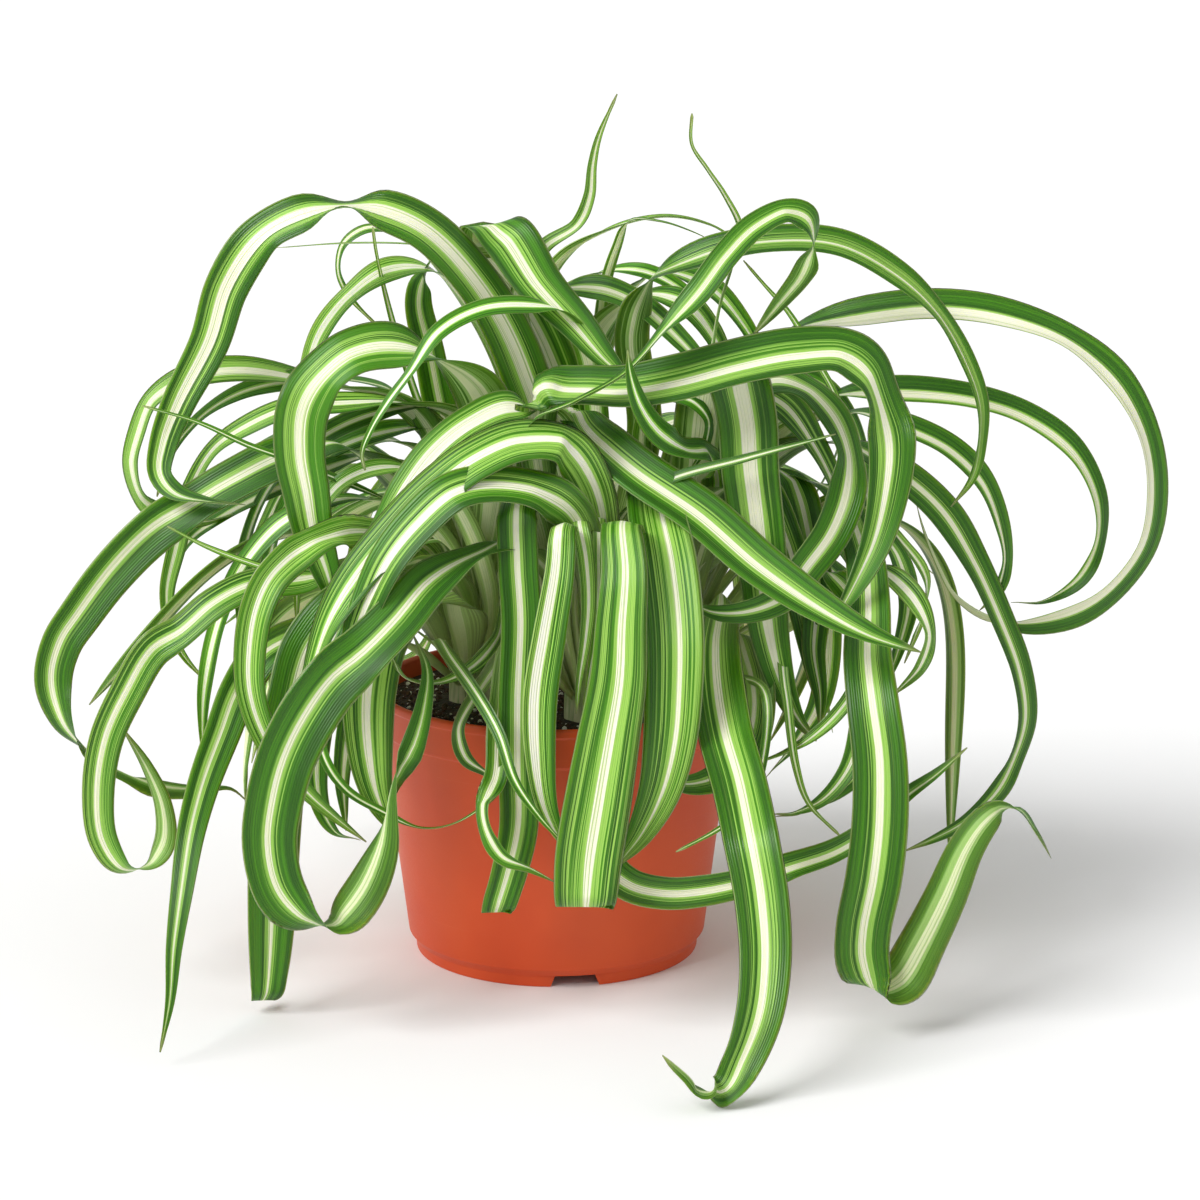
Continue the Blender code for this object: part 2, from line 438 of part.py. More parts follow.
def inner_profile(gap=0.0):
    """Inside of the pot from the lip's foot down to the middle of the floor, drawn in by the gap."""
    inward = WALL + gap
    floor = RAISED_FLOOR + inward
    return [
        (BAND_RADIUS - inward, BAND_FOOT + 1.8),
        (WALL_TOP_RADIUS - inward, BAND_FOOT),
        (wall_radius(floor) - inward, floor),
        (PAD_RADIUS + PAD_SLOPE - gap, floor),
        (PAD_RADIUS - inward, inward),
        (0.0, inward),
    ]


def pot_profile():
    outside = [
        (BAND_RADIUS - WALL, POT_HEIGHT - 0.8),
        (BAND_RADIUS - WALL + 0.6, POT_HEIGHT),
        (RIM_RADIUS - 0.7, POT_HEIGHT),
        (RIM_RADIUS, POT_HEIGHT - 0.8),
        (RIM_RADIUS, POT_HEIGHT - LIP_HEIGHT + 0.6),
        (BAND_RADIUS, POT_HEIGHT - LIP_HEIGHT),
        (BAND_RADIUS - 0.3, BAND_FOOT + 0.7),
        (WALL_TOP_RADIUS, BAND_FOOT),
        (WALL_FOOT_RADIUS, STEP_HEIGHT),
        (WALL_FOOT_RADIUS - 0.5, STEP_HEIGHT - 0.6),
        (FOOT_RADIUS, FOOT_HEIGHT),
        (FOOT_RADIUS - 0.3, 0.0),
        (FOOT_RADIUS - 0.3 - SKIRT, 0.0),
        (FOOT_RADIUS - SKIRT, RAISED_FLOOR),
        (PAD_RADIUS + PAD_SLOPE, RAISED_FLOOR),
        (PAD_RADIUS, 0.0),
        (0.0, 0.0),
    ]
    return inner_profile()[::-1] + outside


def slot_cutter(name, widths, height, reach, bearing, collection):
    """A block from this reach outwards past the pot's foot, with its widths at the foot and at its top."""
    shape = bmesh.new()
    bmesh.ops.create_cube(shape, size=2.0)
    low, high = widths
    for corner in shape.verts:
        width = high if corner.co.z > 0 else 2 * low - high
        corner.co = (corner.co.x * 10 + 10 + reach, corner.co.y * width / 2, corner.co.z * height)
        corner.co *= MM
    mesh = bpy.data.meshes.new(name)
    shape.to_mesh(mesh)
    shape.free()
    cutter = add(name, mesh, collection)
    cutter.rotation_euler[2] = np.radians(bearing)
    return cutter


def make_pot(parts, cutters):
    terracotta = new_material("terracotta_plastic", (0.62, 0.13, 0.045), 0.42)
    pot = turned("pot", pot_profile(), POT_SIDES, parts, terracotta)
    for k in range(SLOTS):
        bearing = SLOT_BEARING + 360.0 * k / SLOTS
        cut(pot, slot_cutter(f"slot_{k}", SLOT_WIDTHS, SLOT_HEIGHT, SLOT_REACH, bearing, cutters))
        cut(pot, slot_cutter(f"tab_{k}", TAB_WIDTHS, TAB_HEIGHT, TAB_REACH, bearing, cutters))
    span = (RAISED_FLOOR - 1.0, RAISED_FLOOR + WALL + 1.0)
    for k in range(DRAINS):
        bearing = np.radians(SLOT_BEARING + 360.0 * k / DRAINS)
        x = DRAIN_DISTANCE * np.cos(bearing)
        y = DRAIN_DISTANCE * np.sin(bearing)
        cut(pot, round_block(f"drain_{k}", DRAIN_RADIUS, DRAIN_RADIUS, *span, (x, y), cutters))


def make_soil(parts, cutters):
    surface = [
        (0.0, SOIL_TOP),
        (20.0, SOIL_TOP - 0.2),
        (40.0, SOIL_TOP - 0.9),
        (50.0, SOIL_EDGE + 0.7),
        (BAND_RADIUS - WALL - CLEARANCE, SOIL_EDGE),
    ]
    profile = surface + inner_profile(CLEARANCE)
    soil = turned("soil", profile, SOIL_SIDES, parts, new_material("soil", (0.022, 0.013, 0.008), 0.95))
    for plant, crown in CROWNS.items():
        radius = CROWN_RADIUS + CLEARANCE
        span = (CROWN_FOOT - CLEARANCE, CROWN_TOP)
        cut(soil, round_block(f"hole_{plant}", radius, radius, *span, crown, cutters))


def catmull_rom(four, shares):
    """Points at these shares of the middle span of a centripetal Catmull-Rom curve through four rows."""
    gaps = np.sqrt(np.linalg.norm(np.diff(four[:, :3], axis=0), axis=1) + 1e-6)
    knots = np.concatenate([[0.0], np.cumsum(gaps)])
    at = (knots[1] + shares * (knots[2] - knots[1]))[:, None]

    def between(a, b, start, end):
        return ((end - at) * a + (at - start) * b) / (end - start)

    first = [between(four[i], four[i + 1], knots[i], knots[i + 1]) for i in range(3)]
    second = [between(first[i], first[i + 1], knots[i], knots[i + 2]) for i in range(2)]
    return between(second[0], second[1], knots[1], knots[2])


def even_rows(rows, count):
    """The rows of a curve at equal steps of its length."""
    steps = np.linalg.norm(np.diff(rows[:, :3], axis=0), axis=1)
    length = np.concatenate([[0.0], np.cumsum(steps)])
    at = np.linspace(0.0, length[-1], count)
    return np.stack([np.interp(at, length, column) for column in rows.T], axis=1)


def drawn_route(text, crown):
    """Points and upper-side directions along a leaf from the text of its route, foot first."""
    rows = []
    for step in text.split(", "):
        *point, way = step.split()
        rows.append(np.array([float(part) for part in point] + [0.0, 0.0, 0.0]))
        rows[-1][3:] = np.sum([WAYS[letter] for letter in way], axis=0)
        rows[-1][3:] /= np.linalg.norm(rows[-1][3:])
    lean = rows[0][:2] - crown
    foot = [*(crown + LEAF_RING * lean / np.linalg.norm(lean)), LEAF_FOOT]
    rows.insert(0, np.concatenate([foot, rows[0][3:]]))
    rows = np.array([2 * rows[0] - rows[1], *rows, 2 * rows[-1] - rows[-2]])
    shares = np.arange(CURVE_STEPS) / CURVE_STEPS
    spans = [catmull_rom(rows[i : i + 4], shares) for i in range(len(rows) - 3)]
    return even_rows(np.vstack([*spans, rows[-2:-1]]), CURVE_ROWS)


def eased(share):
    """Rises from 0 to 1 as the share does, slowly at both ends."""
    share = np.clip(share, 0.0, 1.0)
    return share * share * (3 - 2 * share)


def grown_route(rng, crown, bearings):
    """A leaf by the rule: it rises from the crown, arches over, droops and may curl in at its tip."""
    bearing = np.radians(rng.uniform(*bearings))
    length = rng.uniform(120.0, 260.0)
    start = np.radians(rng.uniform(62.0, 88.0))
    droop = np.radians(rng.uniform(115.0, 170.0))
    curl = np.radians(rng.choice([0.0, 0.0, 60.0, 170.0]))
    sway = np.radians(rng.normal(0.0, 30.0))
    twist = np.radians(rng.normal(0.0, 55.0))
    share = np.linspace(0.0, 1.0, CURVE_ROWS)
    pitch = start - droop * eased(share / 0.8) - curl * eased((share - 0.6) / 0.4)
    heading = bearing + sway * share**2
    out = np.stack([np.cos(heading), np.sin(heading), np.zeros(CURVE_ROWS)], axis=1)
    up = np.array([0.0, 0.0, 1.0])
    along = out * np.cos(pitch)[:, None] + up * np.sin(pitch)[:, None]
    upper = up * np.cos(pitch)[:, None] - out * np.sin(pitch)[:, None]
    side = np.cross(along, upper)
    roll = (twist * share**1.5)[:, None]
    upper = upper * np.cos(roll) + side * np.sin(roll)
    foot = [*(crown + LEAF_RING * out[0, :2]), LEAF_FOOT]
    points = foot + np.cumsum(along, axis=0) * length / CURVE_ROWS
    return np.hstack([points, upper])


def widths(share, width, opening, bluntness):
    """Width along the leaf: it opens from its foot, stays even and runs out at the tip."""
    rise = FOOT_SHARE + (1 - FOOT_SHARE) * eased(share / opening)
    body = rise * np.clip(1 - share**bluntness, 0.0, 1.0) ** 0.8
    return np.maximum(width * body, TIP_WIDTH)


def station_shares(points):
    """Where along a leaf its cross-sections go: closer together where it bends."""
    steps = np.diff(points, axis=0)
    lengths = np.linalg.norm(steps, axis=1)
    along = steps / lengths[:, None]
    bends = np.arccos(np.clip((along[1:] * along[:-1]).sum(axis=1), -1.0, 1.0))
    bends = np.concatenate([[0.0], bends])
    count = 4 + np.degrees(bends.sum()) / 42 + lengths.sum() / 95
    count = int(np.clip(round(count), 6, 15))
    weight = lengths / lengths.sum() + bends / max(bends.sum(), 1e-6)
    done = np.concatenate([[0.0], np.cumsum(weight)]) / weight.sum()
    return np.interp(np.linspace(0.0, 1.0, count), done, np.linspace(0.0, 1.0, len(points)))


def blade(route, width, opening, bluntness, thickness=BLADE):
    """Points and triangles of a leaf: four corners a cross-section, split alike on both faces."""
    at = station_shares(route[:, :3])
    rows = np.linspace(0.0, 1.0, len(route))
    rows = np.stack([np.interp(at, rows, column) for column in route.T], axis=1)
    along = np.gradient(rows[:, :3], axis=0)
    along /= np.linalg.norm(along, axis=1)[:, None]
    upper = rows[:, 3:] - (rows[:, 3:] * along).sum(axis=1)[:, None] * along
    upper /= np.linalg.norm(upper, axis=1)[:, None]
    side = np.cross(along, upper) * widths(at, width, opening, bluntness)[:, None] / 2
    lift = upper * thickness / 2
    middle = rows[:, :3]
    corners = [middle - side + lift, middle + side + lift, middle + side - lift, middle - side - lift]
    points = np.stack(corners, axis=1).reshape(-1, 3)
    faces = [(0, 2, 1), (0, 3, 2)]
    for a in range(0, len(points) - 4, 4):
        b = a + 4
        faces += [(a, a + 1, b + 1), (a, b + 1, b)]
        faces += [(a + 3, b + 2, a + 2), (a + 3, b + 3, b + 2)]
        faces += [(a + 1, a + 2, b + 2), (a + 1, b + 2, b + 1)]
        faces += [(a + 3, a, b), (a + 3, b, b + 3)]
    last = len(points) - 4
    faces += [(last, last + 1, last + 2), (last, last + 2, last + 3)]
    return points, faces


def tree_of(points, faces):
    return BVHTree.FromPolygons([tuple(p) for p in points], faces)


def clear_of_others(route, width, plant, grown):
    """Whether a leaf keeps clear of the surface, the pot and every leaf outside its own crown."""
    points, faces = blade(route, width, OTHER_OPENING, OTHER_BLUNTNESS, OTHER_SPACE)
    outer = points[8:]
    over_pot = np.hypot(outer[:, 0], outer[:, 1]) < POT_CLEAR_RADIUS
    if outer[:, 2].min() < LOWEST or outer[over_pot, 2].min(initial=200.0) < POT_CLEAR_HEIGHT:
        return False
    whole = tree_of(points, faces)
    foot = route[0, :3]
    free = [face for face in faces if np.linalg.norm(points[list(face)] - foot, axis=1).min() > CROWN_REACH]
    past_crown = tree_of(points, free)
    for owner, tree in grown:
        if (past_crown if owner == plant else whole).overlap(tree):
            return False
    return True


def all_leaves():
    """Each plant's blades as (name, points, triangles): the drawn leaves, then the others where they fit."""
    blades = {plant: [] for plant in CROWNS}
    grown = []
    for plant, leaves in LEAVES.items():
        for name, width, opening, bluntness, text in leaves:
            route = drawn_route(text, np.array(CROWNS[plant]))
            shape = blade(route, width, opening, bluntness)
            blades[plant].append((name, *shape))
            grown.append((plant, tree_of(*shape)))
    rng = np.random.default_rng(OTHER_SEED)
    for plant, (count, bearings) in OTHER_LEAVES.items():
        for k in range(count):
            for _ in range(OTHER_TRIES):
                route = grown_route(rng, np.array(CROWNS[plant]), bearings)
                width = rng.uniform(*OTHER_WIDTHS)
                if clear_of_others(route, width, plant, grown):
                    shape = blade(route, width, OTHER_OPENING, OTHER_BLUNTNESS)
                    blades[plant].append((f"other {k}", *shape))
                    grown.append((plant, tree_of(*shape)))
                    break
    return blades


def make_plant(name, blades, parts, material):
    """A crown with its leaves, joined in one solid."""
    span = (CROWN_FOOT, CROWN_TOP)
    plant = round_block(name, CROWN_RADIUS, CROWN_TOP_RADIUS, *span, CROWNS[name], parts, material)
    loose = bpy.data.collections.new(f"{name}_leaves")
    bpy.context.scene.collection.children.link(loose)
    for leaf, points, faces in blades:
        add(leaf, mesh_of(leaf, points, faces), loose)
    union = plant.modifiers.new("Leaves", "BOOLEAN")
    union.operation = "UNION"
    union.solver = "MANIFOLD"
    union.operand_type = "COLLECTION"
    union.collection = loose
    graph = bpy.context.evaluated_depsgraph_get()
    joined = bpy.data.meshes.new_from_object(plant.evaluated_get(graph))
    plant.modifiers.remove(union)
    plant.data = joined
    for leaf in list(loose.objects):
        bpy.data.objects.remove(leaf)
    bpy.data.collections.remove(loose)


def main():
    for item in list(bpy.data.objects):
        bpy.data.objects.remove(item)
    parts = bpy.data.collections.new("potted_spider_plant")
    cutters = bpy.data.collections.new("cutters")
    bpy.context.scene.collection.children.link(parts)
    bpy.context.scene.collection.children.link(cutters)
    make_pot(parts, cutters)
    make_soil(parts, cutters)
    green = new_material("leaf", (0.16, 0.33, 0.07), 0.4)
    for name, blades in all_leaves().items():
        make_plant(name, blades, parts, green)


main()
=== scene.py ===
"""Looks of the potted spider plant: striped leaves, pot, soil, light and camera.

Lengths are in millimetres, and MM turns them into the metres of the scene. -Y is the front.
"""

import bmesh
import bpy
import numpy as np
from mathutils import Matrix, Vector
from mathutils.bvhtree import BVHTree


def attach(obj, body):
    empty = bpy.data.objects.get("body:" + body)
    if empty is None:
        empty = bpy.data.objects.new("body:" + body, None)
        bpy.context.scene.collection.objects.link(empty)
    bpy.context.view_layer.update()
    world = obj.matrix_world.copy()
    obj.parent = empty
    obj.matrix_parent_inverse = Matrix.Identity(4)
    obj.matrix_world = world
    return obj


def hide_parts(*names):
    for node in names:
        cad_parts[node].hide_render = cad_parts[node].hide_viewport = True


MM = 0.001

# Pot
POT_SIDES = 192
POT_HEIGHT = 90.0
RIM_RADIUS = 60.0
LIP_HEIGHT = 3.2
BAND_RADIUS = 59.3
BAND_FOOT = 76.5
WALL_TOP_RADIUS = 58.1
WALL_FOOT_RADIUS = 49.4
STEP_HEIGHT = 6.4
FOOT_RADIUS = 47.2
FOOT_HEIGHT = 3.6
WALL = 1.6
SKIRT = 2.4
PAD_RADIUS = 24.0
PAD_SLOPE = 1.5
RAISED_FLOOR = 4.8
SLOTS = 3
SLOT_BEARING = -82.0
SLOT_WIDTHS = (16.0, 12.7)
SLOT_HEIGHT = 4.0
SLOT_REACH = 43.0
TAB_WIDTHS = (28.0, 27.0)
TAB_HEIGHT = 4.0
TAB_REACH = 45.8
DRAINS = 6
DRAIN_RADIUS = 4.0
DRAIN_DISTANCE = 36.0
CORNER_RADIUS = 0.6
CORNER_POINTS = 4
SLOT_ROUNDING = 0.9
CUTTER_LENGTH = 20
SHARP_DEGREES = 28

# Soil
CLEARANCE = 0.3
SOIL_EDGE = 83.5
SOIL_TOP = 86.0
SOIL_SIDES = 256
SOIL_RING = 0.8
SOIL_SEED = 5
SOIL_LUMPS = ((3.2, 0.55), (1.4, 0.35))  # radius and height
LUMP_REACH = 58

# Grains on the soil: seed, how far apart, smallest and largest radius
PERLITE_GRAINS = (3, 4.2, 0.35, 1.0)
BARK_CRUMBS = (8, 2.3, 0.4, 1.2)
GRAIN_DENSITY = 400000.0
BED_RADIUS = 55.0
BED_STEP = 2.0
BED_DEPTH = 0.25
BED_GAP = 1.5

# Crowns and leaf feet
CROWNS = {
    "plant_front": (10.0, -26.0),
    "plant_left": (-28.0, -4.0),
    "plant_right": (34.0, -2.0),
    "plant_back": (4.0, 32.0),
}
CROWN_RADIUS = 8.0
CROWN_TOP_RADIUS = 6.6
CROWN_FOOT = 70.0
CROWN_TOP = 110.0
CROWN_ROWS = 14
CROWN_SIDES = 40
LEAF_RING = 3.0
LEAF_FOOT = 90.0

# Blades
BLADE = 0.75
TIP_WIDTH = 1.2
FOOT_SHARE = 0.3
CURVE_STEPS = 24
CURVE_ROWS = 161
OPENING = 0.28
BLUNTNESS = 5
SECTION_SPACING = 95
SECTION_TURN = 42
SECTIONS = (6, 15)
STATION_SPACING = 2.4
STATION_TURN = 12
STATIONS = (30, 120)
CREST_GAIN = 12.0
FINE_TIP = 0.25
LEAF_LOWEST = 0.3
COLUMNS = np.array([-1.0, -0.82, -0.58, -0.3, 0.0, 0.3, 0.58, 0.82, 1.0])
LEAF_SEED = 21

# Ranges of what is drawn for each leaf
FOLDS = (0.22, 0.62)
WAVES = (0.1, 0.45)
WAVE_LENGTHS = (7.0, 13.0)
LEANS = (-0.12, 0.12)
CREAMS = (0.1, 0.28)
LIGHTS = (0.78, 1.2)
LINES = (0.2, 0.4, 0.8)
SHIFT_SPREAD = 0.07

WAYS = {"F": (0, -1, 0), "B": (0, 1, 0), "L": (-1, 0, 0), "R": (1, 0, 0), "U": (0, 0, 1), "D": (0, 0, -1)}

# The leaves that give the bunch its outline. Each has a line with its name and numbers: its width, the
# share of its length where it is first that wide, how blunt its tip is (OPENING and BLUNTNESS where
# they aren't given), and for some its look: half the cream band as a share of half the width, the
# colour's lightness, how far past the cream the fine lines go, and how far the cream is off the middle.
# Its route follows, as points across, deep and high, each with the way its upper side looks there:
# Front, Back, Left, Right, Up, Down, or halfway between two or three of these.
LEAVES = {
    "plant_front": """
front loop: 20.5 0.5 3.5 0.1 0.84 0.3 0.08
6 -30 118 B -3 -44 141 UB -14 -55 149 U -26 -63 148 U -38 -73 142 UF -48 -82 132 UF -58 -88 123 UF
-67 -92 115 F -74 -95 106 F -81 -97 93 F -85 -99 80 F -87 -100 65 F -84 -101 50 F -77 -101 41 FD
-68 -99 38 D -60 -96 46 DB -52 -93 62 BR -48 -88 80 R -43 -84 93 F -40 -82 104 F -39 -80 115 F
-43 -80 126 F

cream arch: 13 0.45 8 0.34 1 0.5 0
6 -25 133 B 4 -30 170 B -2 -34 186 UB -14 -38 190 UF -26 -43 186 UF -37 -48 178 UF -46 -53 167 UF
-54 -56 155 UFL -60 -57 144 FL -64 -56 134 FL

left arch 1: 16 0.5 7 0.15 1.02 0.8 0.1
17 -36 122 F 16 -43 145 F 12 -50 167 F 3 -55 181 FU -10 -58 183 FU -24 -62 178 FU -38 -66 168 UF
-50 -70 156 UF -61 -73 143 FU -70 -76 129 FL -75 -78 115 FL -78 -79 99 F

left arch 2: 15 0.5 7 0.18 0.98 0.5 0
12 -38 120 F 11 -48 142 F 6 -56 159 F -5 -62 168 FU -20 -66 171 FU -31 -69 169 FU -42 -72 160 UF
-51 -75 149 UF -57 -77 137 FU -62 -79 123 F -64 -80 109 F

pale fall: 12 0.8 8 0.28 1.06 0.8 0.35
3 -40 120 B 3 -50 142 B 4 -58 155 U 3 -66 156 UF 2 -73 144 F -1 -78 126 F -4 -82 106 F -4 -84 89 F
-2 -85 73 F 4 -85 58 F

dark fall: 13 0.3 14 0.14 0.86 0.3 0.05
-1 -34 125 B -4 -42 150 B -8 -50 163 U -11 -57 161 UF -11 -63 145 F -10 -67 127 F -11 -71 103 F
-11 -74 81 F -11 -77 63 F -14 -79 49 F -17 -79 39 F -18 -76 35 D -15 -73 41 B -12 -72 52 B

middle fall: 27.5 1.2 12 0.14 0.98 0.8 -0.05
27 -36 119 B 25 -50 144 B 22 -62 157 U 21 -72 158 UF 22 -83 147 F 21 -89 132 F 20 -93 115 F 17 -96 97 F
14 -98 79 F 11 -99 60 F 10 -99 47 F 10 -95 43 D 12 -91 49 B 14 -89 61 B

broad fall: 20.5 0.6 7 0.08 0.92 0.8 -0.2
34 -28 119 B 33 -29 148 B 31 -32 163 U 31 -39 165 UF 32 -53 159 F 35 -71 146 F 37 -83 128 F 37 -89 111 F
36 -92 96 F 33 -92 80 F 27 -91 66 F 19 -89 54 F

low swag: 12 0.28 5 0.2 0.86 0.4 0.1
26 -34 128 B 23 -48 135 U 21 -60 125 F 19 -70 103 F 16 -76 82 F 15 -80 65 F 17 -83 53 F 24 -85 47 F
35 -87 45 F 46 -88 46 F 60 -88 49 F 74 -87 54 FU 87 -85 58 FU 96 -83 63 FU 110 -80 75 FU 119 -78 81 FU
129 -76 89 FU

diagonal: 20.5 0.8 5 0.15 0.9 0.4 0.05
1 -10 133 B 0 -16 161 B 2 -22 180 UB 6 -29 186 U 14 -38 180 UF 27 -48 171 UF 46 -58 160 UF 64 -68 146 UF
82 -77 135 UF 97 -84 128 UF 113 -89 123 UF

crown band: 19 0.6 7 0.15 0.92 0.5 0.1
-2 -14 134 B -4 -28 163 B -6 -36 184 B -3 -42 196 FU 8 -45 198 FU 22 -47 198 FU 39 -48 201 FU
58 -47 206 FU 75 -46 209 FU 90 -45 209 FU 99 -45 203 FR 104 -46 192 FR 106 -48 180 F 105 -50 165 F
101 -53 149 F 94 -57 135 F 87 -60 125 FL

twisted loop: 10 0.85 12 0.16 0.88 0.4 0
-8 -42 147 B -13 -48 172 U -6 -51 188 U 7 -53 195 U 22 -54 204 U 34 -52 217 U 45 -48 228 UF 54 -42 239 UF
63 -36 247 UF 73 -32 251 UF 80 -30 248 RF 82 -29 239 R 78 -28 230 B 71 -28 221 B 63 -28 211 B

young fall 1: 6.5 0.6 4 0.2 1.02 0.8 0
7 -36 122 B 7 -43 145 B 8 -48 157 U 8 -54 156 UF 10 -60 147 F 11 -63 133 F 10 -65 121 F 8 -66 108 F
7 -66 97 F

young fall 2: 5 0.5 4 0.2 1 0.8 0
13 -36 123 B 14 -41 145 B 14 -45 155 U 14 -50 155 UF 14 -56 145 F 14 -59 133 F 13 -61 120 F 11 -62 108 F
9 -62 96 F

straight thread: 4.2
14 -26 130 U 22 -40 156 U 35 -48 168 UF 60 -51 176 UF 88 -53 184 UF

hook 1: 7 0.28 5 0.2 0.86 0.3 0
-5 -40 114 U -13 -50 114 UF -23 -58 104 FL -30 -64 92 FL -28 -66 83 F -22 -66 78 FD -13 -64 73 FD

hook 2: 8.5 0.28 5 0.24 0.9 0.3 0
-12 -56 118 F -17 -67 95 F -18 -77 80 F -22 -85 73 FL -21 -89 66 FL -16 -91 58 F -7 -92 54 FD 1 -92 50 FD

pale loop: 8
18 -30 127 B 15 -36 157 B 10 -41 175 B 1 -46 186 U -9 -51 184 UF -17 -56 176 FL
""",
    "plant_left": """
high loop: 17 0.35 5 0.26 0.94 0.4 0.05
-3 2 160 FU -11 -3 197 FU -23 -8 222 FU -40 -14 242 FU -54 -16 249 UF -66 -16 251 U -80 -16 248 UF
-93 -16 241 UF -104 -17 225 F -110 -19 207 F -120 -22 188 F -125 -24 175 F -126 -27 166 F -121 -31 161 UF
-109 -35 159 U -98 -37 158 U

low loop: 11
-28 0 157 B -50 -2 184 UB -73 -3 191 U -102 -5 196 UF -118 -8 194 UF -130 -10 187 UFL -135 -12 176 FL
-137 -14 166 FL -134 -14 155 FL -126 -13 149 F -114 -10 146 FD -103 -5 149 D -97 0 155 D

far sweep: 16.5 0.28 4 0.14 0.82 0.3 0.15
-34 -8 132 B -50 -12 161 UB -69 -17 173 U -86 -22 171 UF -104 -26 163 UF -116 -28 156 FU -129 -30 147 F
-142 -32 134 F -152 -34 121 F -158 -35 112 F -161 -36 100 F -158 -38 86 FL -150 -38 75 LD -139 -38 68 D
-129 -36 64 DB -118 -33 62 DB -106 -30 62 D -100 -28 57 L

hooked sweep: 12 0.28 5 0.16 0.88 0.8 0.1
-40 -20 125 B -54 -28 134 UB -72 -34 135 U -81 -38 134 UF -97 -43 133 UF -108 -47 128 UF -118 -50 120 UF
-127 -52 114 F -135 -54 101 F -142 -55 86 F -145 -56 69 F -144 -56 53 F -138 -55 43 FD -130 -53 43 D
-125 -51 50 DB -125 -50 62 B -130 -49 75 B -138 -48 88 B

long point: 15 0.28 2 0.1 0.84 0.3 0.1
-50 -30 112 U -65 -36 117 U -79 -42 117 UF -91 -48 113 UF -99 -56 103 F -104 -67 91 F -109 -80 78 F
-112 -92 66 F -114 -103 51 F -116 -111 35 F -117 -117 20 F -120 -121 5 F

straight drop: 17 0.28 12 0.1 0.82 0.25 0.05
-49 -40 130 U -66 -50 129 UF -77 -56 118 UF -82 -62 101 F -86 -67 79 F -88 -71 57 F -89 -74 35 F
-90 -76 17 F -91 -75 8 FD -93 -71 4 D -93 -66 9 B

striped drop: 18.5 0.28 7 0.16 1 0.8 0.1
-33 -36 126 U -46 -46 127 U -54 -54 120 F -58 -60 103 F -58 -64 86 F -56 -66 72 F -51 -66 58 F

thin swag: 4
-37 -30 144 U -55 -46 139 U -67 -64 125 UF -73 -71 106 F -72 -75 87 F -65 -77 76 UF -53 -79 69 UF
-42 -79 64 U -32 -79 65 U -23 -79 70 UF -17 -79 75 F

near arch: 18 0.35 9 0.2 0.95 0.5 0
-25 -6 122 B -20 -15 164 B -24 -24 192 UB -37 -31 205 U -51 -35 209 UF -64 -38 207 UF -74 -40 199 UF
-79 -42 189 F -80 -43 176 F -78 -44 163 F -76 -44 150 F -72 -44 137 F -69 -42 123 F

left hoop: 12.5 0.35 4 0.13 1 0.8 0.1
-34 -14 122 F -41 -27 140 F -51 -38 147 F -60 -44 150 F -68 -51 152 FU -75 -60 151 FU -82 -67 147 F
-88 -71 141 F -92 -74 132 F -94 -76 120 F -94 -77 108 F -91 -77 96 F -85 -76 84 F -75 -75 72 F
-67 -73 64 F -59 -72 57 F

fan 1: 9
-18 0 151 B -31 -5 180 UB -50 -8 186 U -69 -11 186 UF -85 -14 185 UF -98 -16 180 UF -110 -17 172 UFL
-118 -18 158 FL -122 -17 141 F -126 -16 124 F -125 -15 111 F -121 -14 102 F -114 -12 93 F

fan 2: 8.5
-12 4 150 B -23 -1 178 UB -42 -4 184 U -61 -6 181 UF -79 -8 172 UF -93 -9 158 UFL -101 -10 139 FL
-103 -10 119 F -102 -10 100 F

fan 3: 8.5
-15 2 143 B -28 0 170 UB -42 0 176 U -59 0 174 UF -75 0 167 UF -87 0 153 UFL -94 0 134 FL -97 0 111 F
-96 0 91 F

fan 4: 7
-21 -14 120 B -32 -20 155 UB -46 -25 167 U -58 -28 168 UF -69 -30 163 UF -77 -31 151 FL -82 -31 134 F
-83 -30 116 F

thread 1: 3.5
-40 -24 110 U -58 -29 124 U -75 -31 132 U -94 -33 137 UF -111 -35 144 UF -123 -37 151 UF

thread 2: 3.2
-28 -12 133 U -50 -22 154 U -68 -28 164 UF -86 -31 172 UF -97 -31 176 UF -113 -29 183 UF -131 -27 188 UF

pale thread: 4.8
-36 -56 118 U -25 -70 106 F -17 -81 95 F -12 -88 82 F -5 -91 72 F 4 -93 62 F

low hoop: 6
-8 -28 127 U -15 -38 126 FR -18 -44 116 FR -26 -49 108 FU -37 -53 104 U -47 -57 107 U -52 -61 116 L

under arch 1: 9
-33 -2 151 B -42 -3 178 UB -53 -4 189 U -70 -4 193 U -86 -4 192 UF -102 -3 188 UF -115 -2 180 UFL
-125 -2 168 FL -130 -2 153 F

under arch 2: 9.5
-32 8 143 B -40 12 162 UB -55 14 169 U -71 14 166 UF -86 13 156 UF -96 11 140 FL -101 9 122 F -103 8 102 F

under arch 3: 8
-33 -2 138 B -42 -3 160 UB -60 -4 167 U -76 -5 163 UF -93 -6 156 UF -108 -6 148 UF -120 -7 139 FL
-127 -8 123 FL

side drop: 9
-33 -16 135 B -47 -22 153 UB -65 -26 158 U -85 -28 152 UF -99 -30 138 FL -108 -31 119 FL -113 -32 96 F
-114 -34 73 F

low drop 1: 10.5 0.28 6
-32 -26 127 B -44 -36 139 UB -59 -46 132 UF -69 -52 111 F -75 -55 86 F -75 -55 66 F -70 -55 55 FD
-62 -54 52 D

low drop 2: 9 0.28 6
-30 -20 126 B -42 -30 135 UB -54 -38 124 UF -63 -43 99 F -68 -46 73 F -67 -47 53 F
""",
